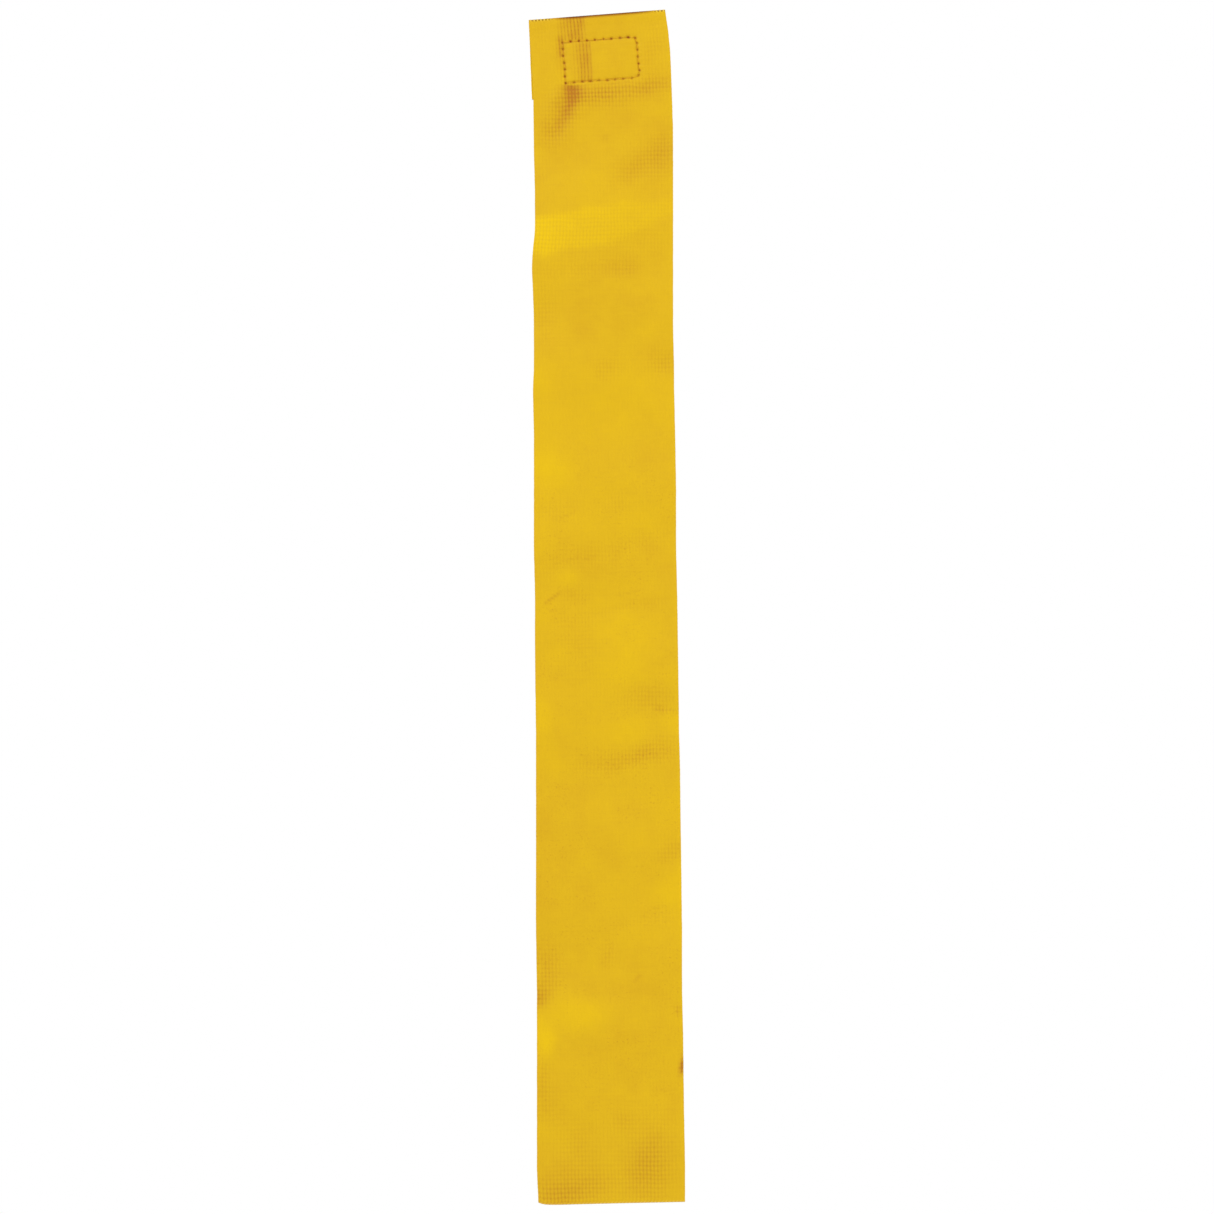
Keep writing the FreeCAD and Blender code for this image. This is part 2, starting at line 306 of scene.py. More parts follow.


# ---------------------------------------------------------------------------
# wrinkles: centre x, centre down, half width, half height, turn in degrees,
# height towards the viewer, painted light and shade (up to 1 bright, down to -1 dark)
# ---------------------------------------------------------------------------
WRINKLES = [
    # heading, right of and under the box
    (18.2, 12.0, 1.8, 6.6, 0, -0.06, -0.10), (16.9, 27.1, 4.4, 2.2, 14, -0.20, -0.42),
    (-2.1, 29.2, 5.5, 1.8, 6, -0.12, -0.34), (21.2, 35.6, 4.4, 2.5, 20, 0.10, 0.10),
    (0.3, 46.9, 0.9, 0.9, 0, -0.03, -0.18), (20.7, 52.4, 5.8, 3.6, 30, -0.26, -0.30),
    (11.5, 60.0, 8.0, 2.9, 28, -0.14, -0.16), (1.0, 56.5, 8.7, 3.6, 10, 0.10, 0.0),
    # on and under the bright band
    (-8.0, 97.3, 9.0, 1.8, 2, -0.10, -0.08), (7.2, 96.4, 3.6, 2.2, 4, -0.10, -0.17),
    (14.9, 87.0, 5.8, 2.9, 8, -0.08, -0.08), (-22.5, 112.7, 2.9, 7.2, 0, -0.12, -0.22),
    (1.2, 134.6, 4.3, 3.2, 8, -0.12, -0.22), (21.0, 132.6, 4.3, 2.5, 25, -0.20, -0.36),
    (-23.3, 138.2, 3.6, 8.6, 0, 0.06, 0.12),
    # middle
    (-19.9, 169.8, 5.0, 3.6, 0, 0.10, 0.22), (4.4, 183.2, 4.3, 2.9, 0, -0.08, -0.18),
    (-17.8, 187.5, 7.1, 3.2, 4, -0.12, -0.17), (-2.2, 201.9, 17.8, 2.8, 14, -0.20, -0.19),
    (-14.0, 210.6, 3.6, 2.5, 0, 0.08, 0.16), (-11.5, 217.6, 3.6, 1.8, 6, -0.08, -0.17),
    (1.9, 223.1, 14.2, 1.4, 11, -0.10, -0.14), (-9.5, 234.7, 6.4, 9.2, 0, -0.06, -0.12),
    (7.5, 238.4, 5.7, 9.2, 0, 0.05, 0.14), (15.1, 254.8, 7.1, 3.2, 2, -0.16, -0.26),
    (21.4, 259.1, 3.5, 0.7, -6, -0.10, -0.38), (-23.4, 259.9, 2.1, 4.9, 0, 0.06, 0.22),
    (7.2, 265.5, 7.8, 2.8, 12, 0.10, 0.14), (22.8, 263.8, 2.8, 3.5, 0, 0.06, 0.18),
    (13.9, 274.5, 6.3, 2.5, 16, -0.20, -0.50), (-1.7, 278.4, 6.3, 2.1, 8, -0.10, -0.24),
    # lower part
    (23.4, 309.6, 3.2, 2.8, 10, -0.18, -0.36), (22.1, 324.8, 3.5, 4.6, 0, 0.08, 0.24),
    (16.1, 332.5, 9.1, 2.8, 16, -0.10, -0.14), (-0.8, 346.5, 1.4, 2.8, -15, -0.05, -0.24),
    (-21.4, 350.9, 3.5, 5.2, 0, -0.16, -0.34), (-24.2, 361.3, 2.2, 2.6, 0, -0.14, -0.66),
    (-8.9, 367.4, 8.4, 4.2, 4, 0.10, 0.28), (-22.9, 377.0, 2.4, 4.5, 0, 0.12, 0.36),
    (24.5, 365.2, 0.9, 1.4, 0, -0.08, -0.50), (24.9, 384.9, 1.05, 2.2, 0, -0.08, -0.95),
    (-23.3, 388.2, 2.1, 4.9, 0, -0.10, -0.26), (-21.9, 397.9, 3.1, 4.9, 0, -0.08, -0.20),
    (4.0, 405.0, 2.4, 2.4, 20, -0.06, -0.20), (-19.2, 408.9, 4.9, 3.5, 0, 0.07, 0.12),
    (12.9, 420.6, 4.2, 8.4, -4, -0.20, -0.50), (-12.7, 414.1, 4.2, 5.5, 0, -0.08, -0.22),
    (-18.2, 430.3, 8.4, 4.0, 4, -0.22, -0.53), (-3.8, 426.2, 6.2, 4.2, 0, -0.08, -0.20),
]

# short rubbed lines: start (x, down), end (x, down), half width, depth of tone
SCRATCHES = [
    ((-21.9, 220.4), (-16.5, 216.4), 0.28, 0.50), ((-16.0, 189.3), (-11.0, 187.2), 0.25, 0.20),
    ((-8.3, 204.8), (-3.3, 203.0), 0.25, 0.18), ((-20.5, 223.5), (-17.8, 222.6), 0.22, 0.30),
    ((-18.5, 206.2), (-9.5, 203.4), 0.30, 0.16), ((3.0, 218.2), (12.5, 215.6), 0.25, 0.20),
    ((14.0, 330.6), (20.5, 328.8), 0.25, 0.18), ((8.6, 356.0), (10.8, 353.5), 0.30, 0.24),
]

# places where the weave shows: strength, then the soft oval as in WRINKLES
WORN_SPOTS = [
    # under the box
    (0.27, -4.0, 31.5, 8.5, 3.4, 6), (0.20, 8.0, 29.5, 9.0, 2.6, 6),
    # beside the box, left and right
    (0.09, -23.5, 6.0, 2.6, 6.5, 0), (0.07, 20.5, 12.0, 3.0, 7.0, 0),
    # left edge, free end, and right of the middle below the heading
    (0.06, -21.5, 53.0, 3.0, 9.0, 0), (0.05, 4.0, 414.0, 20.0, 14.0, 0),
    (0.06, 17.0, 62.0, 9.0, 9.0, 0),
]

# (x, down) along the crease that starts below the box's lower left corner
CREASE = [(-11.2, 26.9), (-12.4, 32.2), (-14.9, 38.2), (-17.7, 44.6)]


def below_ridge(x, down):
    """Distance down from the bright ridge, which rises to the right."""
    return down - (85.0 - 0.155 * (x + 25.0) - 3.2 * ramp(x, 4.0, 20.0))


def crease(x, down):
    """Distance to the crease, and how far along it, 0 to 1."""
    nearest = np.full(np.shape(x), 1e9)
    along = np.zeros(np.shape(x))
    for i in range(3):
        distance, t = segment_distance(x, down, CREASE[i], CREASE[i + 1])
        closer = distance < nearest
        nearest = np.where(closer, distance, nearest)
        along = np.where(closer, (i + t) / 3.0, along)
    return nearest, along


def pucker(x, down):
    """The pinched band through the left third of the heading, 0 to 1."""
    top = bell(x + 11.2, 4.6, 6) * ramp(down, 10.2, -2.0)
    top = top * (0.62 + 0.38 * bell(x + 9.6, 2.8, 4))
    left = bell(x + 15.3 - 0.05 * (down - 12), 1.0) * ramp(down, 6, 4.0)
    left = left * (0.25 + 0.75 * ramp(down, 17.0, -3.0)) * ramp(down, 27, -4.0)
    slant = 0.06 * (down - 16)
    inner = bell(x + 7.7 - slant, 3.5, 8) * ramp(down, 9.0, 2.0) * ramp(down, 26.0, -1.5)
    inner = inner * (0.32 + 0.68 * ramp(x + 10.4 - slant, 0, 3.2))
    return np.clip(top + 0.95 * left + 0.85 * inner, 0, 1)


def height(x, down):
    """Height of the front layer's middle towards the viewer."""
    lift = np.zeros(np.shape(x))
    for *oval, amount, _ in WRINKLES:
        lift += amount * blob(x, down, *oval)
    # long lazy waves, still at the patch
    hang = ramp(down, 34.0, 40.0)
    lift += hang * (0.75 * np.sin((down - 40.0) / STRIP_L * 2 * math.pi * 1.15 + 0.4)
                    + 0.34 * np.sin((down + 0.5 * x) / 61.0 * 2 * math.pi + 1.1)
                    + 0.16 * np.sin((down - 0.35 * x) / 33.0 * 2 * math.pi + 0.3))
    # the ridge: steep above, gentle below, lower to the right
    past = below_ridge(x, down) - 6
    fade = 1.0 - 0.45 * ramp(x, -5, 30.0)
    lift += hang * fade * 0.95 * bell(past, np.where(past < 0, 8.5, 13.0))
    # cross-wise cup
    half = STRIP_W / 2
    lift += hang * 0.30 * (1 - (x / half) ** 2) * np.sin(down / 180.0 * math.pi + 0.5)
    # ripple of the long edges, then fine unevenness
    lift += hang * 0.16 * np.exp(-((half - np.abs(x)) / 2.6)) * noise(x, down, 13.0, 5)
    lift += hang * 0.050 * noise(x, down, 5.5, 11)
    lift += 0.016 * noise(x, down, 2.3, 12)
    # the crease and the soft swelling beside it
    distance, t = crease(x, down)
    lift -= (0.50 - 0.26 * t) * bell(distance, 2.0 + 0.6 * t) * ramp(down, 25.6, 2.5)
    lift += 0.26 * bell(distance - 4.4, 2.2) * (1 - 0.5 * t) * ramp(down, 27.0, 4.0)
    # the heading is padded by the tape behind it, and pulled down at the seam
    seam = seam_offset(*strip_to_patch(x, down))
    padded = bell(x + 1.0, 26.0, 4) * ramp(down, 36.0, -10.0)
    lift += padded * 0.17 * (1 - bell(seam, 1.7))
    lift -= 0.105 * bell(seam, 0.42)
    lift -= 0.16 * pucker(x, down)
    # scallops between neighbouring stitches
    patch_x, patch_z = strip_to_patch(x, down)
    long_side = ramp(np.abs(patch_z), SEAM_H / 2 - 1.6, 1.2)
    scallop = (
        long_side * np.cos(TWO_PI * (patch_x + SEAM_W / 2) / (SEAM_W / LONG_STITCHES))
        + (1 - long_side) * np.cos(TWO_PI * (patch_z + SEAM_H / 2) / (SEAM_H / SHORT_STITCHES)))
    lift -= 0.035 * bell(seam, 1.4) * scallop
    # puff of the turned top edge
    lift += 0.20 * bell(crest_distance(x, down) - 2.0, 1.3)
    return lift


# ---------------------------------------------------------------------------
# tone and weave of the front
# ---------------------------------------------------------------------------
def warped(x, down):
    """Positions shifted by noise, so that the soft ovals get ragged outlines."""
    return (x + noises(x, down, (1.1, 6.5, 101), (0.5, 2.6, 102)),
            down + noises(x, down, (1.0, 7.0, 103), (0.45, 2.4, 104)))


def band_light(x, down):
    """Painted highlight: the bright band on the ridge, thinner and fainter to the right."""
    past = below_ridge(x, down)
    thick = 7.6 - 4.2 * ramp(x, 2, 22.0)
    band = ramp(past, -thick - 2.2, 3.4) * ramp(past, thick + 1.6, -4.6)
    strength = 0.92 - 0.22 * ramp(x, -22, 14.0) - 0.30 * ramp(x, -8, 26.0)
    return band * strength * (1 + 0.30 * np.exp(-((x + 25) / 4.0) ** 2))


def tone_at(x, down):
    """Painted light and shade of the front, with mottling and rubbed lines: 0 plain, up to 1 bright,
    down to -1 dark.
    """
    ragged_x, ragged_down = warped(x, down)
    tone = np.zeros(np.shape(x))
    for *oval, _, painted_light in WRINKLES:
        # the painted shade of mild dark wrinkles is kept small, left mostly to the relief
        share = 1.0 if painted_light > 0 or painted_light < -0.9 else 0.09 + 0.55 * max(0.0, -painted_light - 0.35)
        tone += share * painted_light * blob(ragged_x, ragged_down, *oval)
    tone += 0.52 * band_light(ragged_x, ragged_down)
    # heading a little darker, middle a little brighter
    tone -= 0.05 * ramp(down, 70, -20.0)
    tone += 0.05 * ramp(down, 110, 40.0) * ramp(down, 300, -60.0)
    distance, t = crease(ragged_x, ragged_down)
    # painted shade along the crease
    tone -= 0.76 * (1 - t) ** 0.75 * bell(distance, 2.25 - 0.7 * t) * ramp(down, 25.8, 1.5)
    # painted shade in the pinched band
    tone -= 0.30 * pucker(x, down) ** 1.5 * (1 + 0.5 * noise(x, down, 1.9, 141))
    for start, end, width, depth in SCRATCHES:
        distance, t = segment_distance(x, down, start, end)
        tone -= depth * bell(distance, width) * (0.6 + 0.4 * np.sin(t * 3.1))
    # slow mottling of the coat, and a painted highlight along the right-hand edge
    tone += noises(x, down, (0.055, 21.0, 31), (0.050, 8.0, 32), (0.030, 3.1, 33))
    tone += 0.12 * np.exp(-((25.3 - x) / 1.6))
    return tone


def weave_at(x, down):
    """How far the base weave shows through the coat."""
    ragged_x, ragged_down = warped(x, down)
    show = 0.012 + noises(x, down, (0.016, 9.0, 41), (0.010, 3.5, 42))
    for centre_x, centre_down, half_x, half_down, turn, _, painted_light in WRINKLES:
        show += 0.72 * min(max(-painted_light, 0.0), 0.8) * blob(
            ragged_x, ragged_down, centre_x, centre_down, half_x * 1.1, half_down * 1.15, turn)
    show += 0.24 * band_light(x, down) + 0.05 * bell(below_ridge(x, down) - 7, 8.0)
    distance, t = crease(ragged_x, ragged_down)
    show += (0.40 + 0.02 * t) * bell(distance, 3.4) * ramp(down, 25.5, 1.5)
    for strength, *oval in WORN_SPOTS:
        show += strength * blob(ragged_x, ragged_down, *oval)
    return np.clip(show, 0.02, 1.0)


# ---------------------------------------------------------------------------
# the whole fabric as one grid of middle points, from the hem's free edge, up
# the back, over the turn and down the front to the strip's free end.
# A row function gives x, down, y, side (0 hem, 1 front) and distance along the cloth.
# ---------------------------------------------------------------------------
COLS = 165
ACROSS = np.linspace(0, 1, COLS)
FINE_STEP, COARSE_STEP = 0.36, 0.80       # row spacing in the heading and below it
TURN_STEPS = 12
END_OVER = 1.25                           # hand cut, a millimetre over
SKEW_REACH = 46.0                         # rows run parallel to the crest, then level out


def hem_row(drop):
    share = drop / HEM_LENGTH
    left = CREST_LEFT + (HEM_END_LEFT - CREST_LEFT) * share
    right = CREST_RIGHT + (HEM_END_RIGHT - CREST_RIGHT) * share
    x = left[0] + (right[0] - left[0]) * ACROSS
    down = left[1] + (right[1] - left[1]) * ACROSS
    below = crest_distance(x, down)
    y = (TAPE_Y - THICK / 2) + 0.16 * bell(below - 2.0, 1.3)
    # the free edge lifts off the strip, and the parts beside the tape ripple
    y = y + 0.20 * ramp(below, 27.0, 4.0) * (0.6 + 0.4 * noise(x, down, 9.0, 77))
    y = y + 0.05 * noise(x, down, 6.0, 78) * ramp(np.abs(x + 0.5), 16.5, 2.0)
    return x, down, y, 0.0, -drop


def turn_row(angle):
    crest = CREST_LEFT + (CREST_RIGHT - CREST_LEFT) * ACROSS[:, None]
    points = crest + CREST_DOWN * TURN_OUTER_R - CREST_DOWN * TURN_MID_R * math.cos(angle)
    y = TURN_Y + TURN_MID_R * math.sin(angle)
    return points[:, 0], points[:, 1], y, 0.5 - angle / math.pi, -TURN_MID_R * angle * 0.5


def front_row(drop):
    skew = 1 - ramp(drop, 0, SKEW_REACH)
    down_left = drop + CREST_LEFT[1] * skew
    down_right = drop + CREST_RIGHT[1] * skew
    down = down_left + (down_right - down_left) * ACROSS
    # the free end: cut a little out of square, the left corner nicked
    trim = ramp(drop, END_DOWN - 11.0, 12.0)
    down = down - trim * (0.80 * ACROSS + 0.95 * np.exp(-ACROSS / 0.032))
    left = np.interp(down_left, *LEFT_EDGE)
    right = np.interp(down_right, *RIGHT_EDGE)
    x = left + (right - left) * ACROSS
    return x, down, CLOTH_Y - height(x, down), 1.0, drop


def sheet_rows():
    """Every row as (row function, value), and the index of each piece's last row."""
    hem_flat = HEM_LENGTH - TURN_OUTER_R
    count = int(round(hem_flat / FINE_STEP))
    rows = [(hem_row, HEM_LENGTH - hem_flat * i / count) for i in range(count + 1)]
    rows += [(turn_row, math.pi / 2 - math.pi * i / TURN_STEPS) for i in range(1, TURN_STEPS)]
    # pieces meet halfway between neighbouring joints
    stops = [BOX_DOWN - (JOINT_Z[i] + JOINT_Z[i + 1]) / 2 for i in range(7)]
    stops.append(END_DOWN + END_OVER)
    drops = [TURN_OUTER_R]
    ends = []
    for piece, stop in enumerate(stops):
        start = drops[-1]
        count = int(math.ceil((stop - start) / (FINE_STEP if piece == 0 else COARSE_STEP)))
        drops += [start + (stop - start) * i / count for i in range(1, count + 1)]
        ends.append(len(rows) + len(drops) - 1)
    return rows + [(front_row, drop) for drop in drops], ends


def grid_normals(points):
    return unit(np.cross(np.gradient(points, axis=1), np.gradient(points, axis=0)))


ROWS, PIECE_ENDS = sheet_rows()
MID = np.zeros((len(ROWS), COLS, 3))
GRID_X = np.zeros((len(ROWS), COLS))
GRID_DOWN = np.zeros((len(ROWS), COLS))
SIDE = np.zeros((len(ROWS), 1))
CLOTH = np.zeros((len(ROWS), 1))
for i, (row, value) in enumerate(ROWS):
    GRID_X[i], GRID_DOWN[i], MID[i, :, 1], SIDE[i], CLOTH[i] = row(value)
MID[:, :, 0], MID[:, :, 2] = strip_to_frame(GRID_X, GRID_DOWN)
NORMAL = -grid_normals(MID)               # towards -Y on the front
FRONT = SIDE > 0.99


def grid_noises(*layers):
    return noises(GRID_X, GRID_DOWN, *layers)


# ---------------------------------------------------------------------------
# surface values over the grid
# ---------------------------------------------------------------------------
crest_gap = np.abs(crest_distance(GRID_X, GRID_DOWN))
TONE = np.where(FRONT, tone_at(GRID_X, GRID_DOWN), -0.02 + grid_noises((0.06, 12.0, 51)))
WEAVE = np.where(FRONT, weave_at(GRID_X, GRID_DOWN),
                 0.13 + grid_noises((0.05, 9.0, 43), (0.04, 3.3, 44)))
# the uncoated side shows its weave everywhere
WEAVE_INNER = 0.27 + 0.30 * np.clip(WEAVE, 0, 1) + grid_noises((0.06, 11.0, 45), (0.04, 4.0, 46))
# painted shade: the crest of the turn is darker, most of all along its middle
crest_painted_shade = 0.20 + 0.95 * bell(GRID_X + 1.0, 14.0, 6)
TONE = TONE - np.where(SIDE >= 0.35, bell(crest_gap, 0.42) * crest_painted_shade, 0)

# yarn counts: 41 pairs across the nominal width, 269 down the nominal length
YARNS_ACROSS = 41.0
YARN_X = STRIP_W / YARNS_ACROSS
YARN_DOWN = STRIP_L / 269.0
# the yarns wander a little and are beaten up unevenly
wander = np.sin(math.pi * ACROSS) * FRONT
YARN_U = ACROSS * YARNS_ACROSS + wander * grid_noises((0.16, 7.0, 171), (0.10, 3.0, 172))
YARN_V = CLOTH / YARN_DOWN + FRONT * grid_noises(
    (0.20, 8.5, 173), (0.12, 3.2, 174)) * ramp(CLOTH, 0.5, 6.0)
RIBS = np.cos(TWO_PI * YARN_U)
RELIEF = (0.5 * RIBS + 0.5 * np.cos(TWO_PI * YARN_V)
          + 0.35 * np.sin(math.pi * YARN_U) * np.sin(math.pi * YARN_V))
PUCKER = FRONT * pucker(GRID_X, GRID_DOWN)

# both ends of the turned edge show the yarns as a row of dots
crest_ends = bell(GRID_X + 22.5, 3.4, 4) + bell(GRID_X - 21.4, 2.2, 4)
dots = np.where(SIDE >= 0.30, bell(crest_gap, 0.82, 8), 0) * crest_ends
# painted shade: the middle of the crest is a dark line, on the front half of the turn
front_half = ramp(SIDE, 0.49, 0.09)
painted_crest_shadow = front_half * bell(crest_gap, 0.74, 8) * (0.90 * bell(GRID_X - 1.2, 15.8, 8)) * (
    0.90 + 0.13 * RIBS + grid_noises((0.14, 2.1, 181), (0.08, 6.0, 182)))
# painted shade: the needle holes and the thread's shadow, and a brown fringe along the middle of the
# crest
HOLE_AND_CREST_PAINTED_SHADE = np.maximum(
    FRONT * hole_painted_shade(GRID_X, GRID_DOWN),
    front_half * bell(crest_gap, 1.15, 6) * 0.55 * bell(GRID_X - 1.0, 14.5, 6))
# above 0 a painted highlight, where the yarn ends catch the light between the dots; below 0 painted
# shade, dark
seen_dots = dots * ramp(SIDE, 0.42, 0.10)
PAINTED_HIGHLIGHT_AND_SHADE = seen_dots * np.clip(-1.2 * RIBS, 0, 1) - np.maximum(
    painted_crest_shadow, seen_dots * np.clip(0.42 + 1.5 * RIBS, 0, 1))

# relief of the outer side: weave, pinched ribs, dots, ribs over the turn, needle holes
fine = 0.014 * np.clip(WEAVE, 0, 1) * RELIEF
fine = fine + 0.022 * PUCKER * RIBS - 0.07 * dots * RIBS
over_turn = np.where(SIDE >= 0.10, bell(crest_gap, 1.1, 6), 0)
fine = fine - 0.020 * over_turn * RIBS * (1 - np.clip(dots, 0, 1))
fine = fine - FRONT * (0.20 * pits(GRID_X, GRID_DOWN, radius=0.36)
                       + 0.05 * pits(GRID_X, GRID_DOWN, radius=0.62))
OUTER = MID + NORMAL * (THICK / 2) + NORMAL * fine[:, :, None]
INNER = MID - NORMAL * (THICK / 2) - NORMAL * (0.010 * RELIEF * FRONT)[:, :, None]


def side_normals(points, sign):
    """Shading normals of the whole sheet, so the pieces meet without a line."""
    normals = grid_normals(points)
    return normals * np.sign((normals * NORMAL).sum(2, keepdims=True)) * sign


NORMAL_OUTER = side_normals(OUTER, 1.0)
NORMAL_INNER = side_normals(INNER, -1.0)


# ---------------------------------------------------------------------------
# material helpers
# ---------------------------------------------------------------------------
def rgb(*levels):
    """Linear colour from sRGB levels of 0 to 255."""
    parts = [level / 255.0 for level in levels]
    return tuple(part / 12.92 if part <= 0.04045 else ((part + 0.055) / 1.055) ** 2.4
                 for part in parts) + (1.0,)


class Value:
    """A shader output; arithmetic on it makes math nodes."""

    def __init__(self, net, socket):
        self.net = net
        self.socket = socket

    def __add__(self, other):
        return self.net.math("ADD", self, other)

    def __radd__(self, other):
        return self.net.math("ADD", other, self)

    def __sub__(self, other):
        return self.net.math("SUBTRACT", self, other)

    def __rsub__(self, other):
        return self.net.math("SUBTRACT", other, self)

    def __mul__(self, other):
        return self.net.math("MULTIPLY", self, other)

    def __pow__(self, other):
        return self.net.math("POWER", self, other)

    def clamp(self):
        """Hold the math node behind this value to 0 to 1."""
        self.socket.node.use_clamp = True
        return self


class Net:
    """A node material under construction."""

    def __init__(self, name):
        self.material = bpy.data.materials.new(name)
        self.material.use_nodes = True
        self.tree = self.material.node_tree
        self.tree.nodes.clear()
        self.output = self.node("ShaderNodeOutputMaterial")
        self.shader = self.node("ShaderNodeBsdfPrincipled")
        self.tree.links.new(self.shader.outputs[0], self.output.inputs[0])

    def node(self, kind, **props):
        node = self.tree.nodes.new(kind)
        for name, value in props.items():
            setattr(node, name, value)
        return node

    def put(self, socket, value):
        if isinstance(value, Value):
            self.tree.links.new(value.socket, socket)
        else:
            socket.default_value = value

    def filled(self, kind, inputs, output=0, **props):
        """A node with its inputs set or linked; gives back one output."""
        node = self.node(kind, **props)
        for key, value in inputs.items():
            self.put(node.inputs[key], value)
        return Value(self, node.outputs[output])

    def math(self, operation, *values):
        return self.filled("ShaderNodeMath", dict(enumerate(values)), operation=operation)

    def mix(self, factor, first, second):
        return self.filled("ShaderNodeMix", {0: factor, 6: first, 7: second}, output=2,
                           data_type="RGBA", clamp_factor=True)

    def attr(self, name):
        return self.filled("ShaderNodeAttribute", {}, output="Fac", attribute_name=name)

    def uv(self, name):
        return self.filled("ShaderNodeUVMap", {}, uv_map=name)

    def place(self):
        return self.filled("ShaderNodeTexCoord", {}, output="Object")

    def split(self, vector):
        node = self.node("ShaderNodeSeparateXYZ")
        self.put(node.inputs[0], vector)
        return [Value(self, output) for output in node.outputs]

    def combine(self, x, y):
        return self.filled("ShaderNodeCombineXYZ", {0: x, 1: y, 2: 0.0})

    def noise(self, vector, scale, detail, rough):
        return self.filled("ShaderNodeTexNoise", {
            "Vector": vector, "Scale": scale, "Detail": detail, "Roughness": rough}, output="Fac")

    def bump(self, relief, strength, distance, below=None):
        inputs = {"Strength": strength, "Distance": distance, "Height": relief}
        if below is not None:
            inputs["Normal"] = below
        return self.filled("ShaderNodeBump", inputs)

    def surface(self, colour, roughness, specular, normal=None):
        inputs = self.shader.inputs
        self.put(inputs["Base Color"], colour)
        self.put(inputs["Roughness"], roughness)
        self.put(inputs["Specular IOR Level"], specular)
        if normal is not None:
            self.put(inputs["Normal"], normal)
        return self.material


# ---------------------------------------------------------------------------
# materials
# ---------------------------------------------------------------------------
COAT_BASE = rgb(224, 180, 26)
COAT_DARK_AND_SHADED = rgb(188, 122, 30)
COAT_PALE_AND_LIT = rgb(249, 209, 2)
PAINTED_SHADE_RED_BROWN = rgb(146, 56, 12)
PINCH_SHADE_BROWN = rgb(166, 88, 32)
PAINTED_SHADE_DARK_BROWN = rgb(98, 54, 11)
PAINTED_HIGHLIGHT_PALE = rgb(250, 240, 120)
CUT_YARN_DARK, CUT_YARN_PALE = rgb(206, 150, 40), rgb(236, 206, 92)


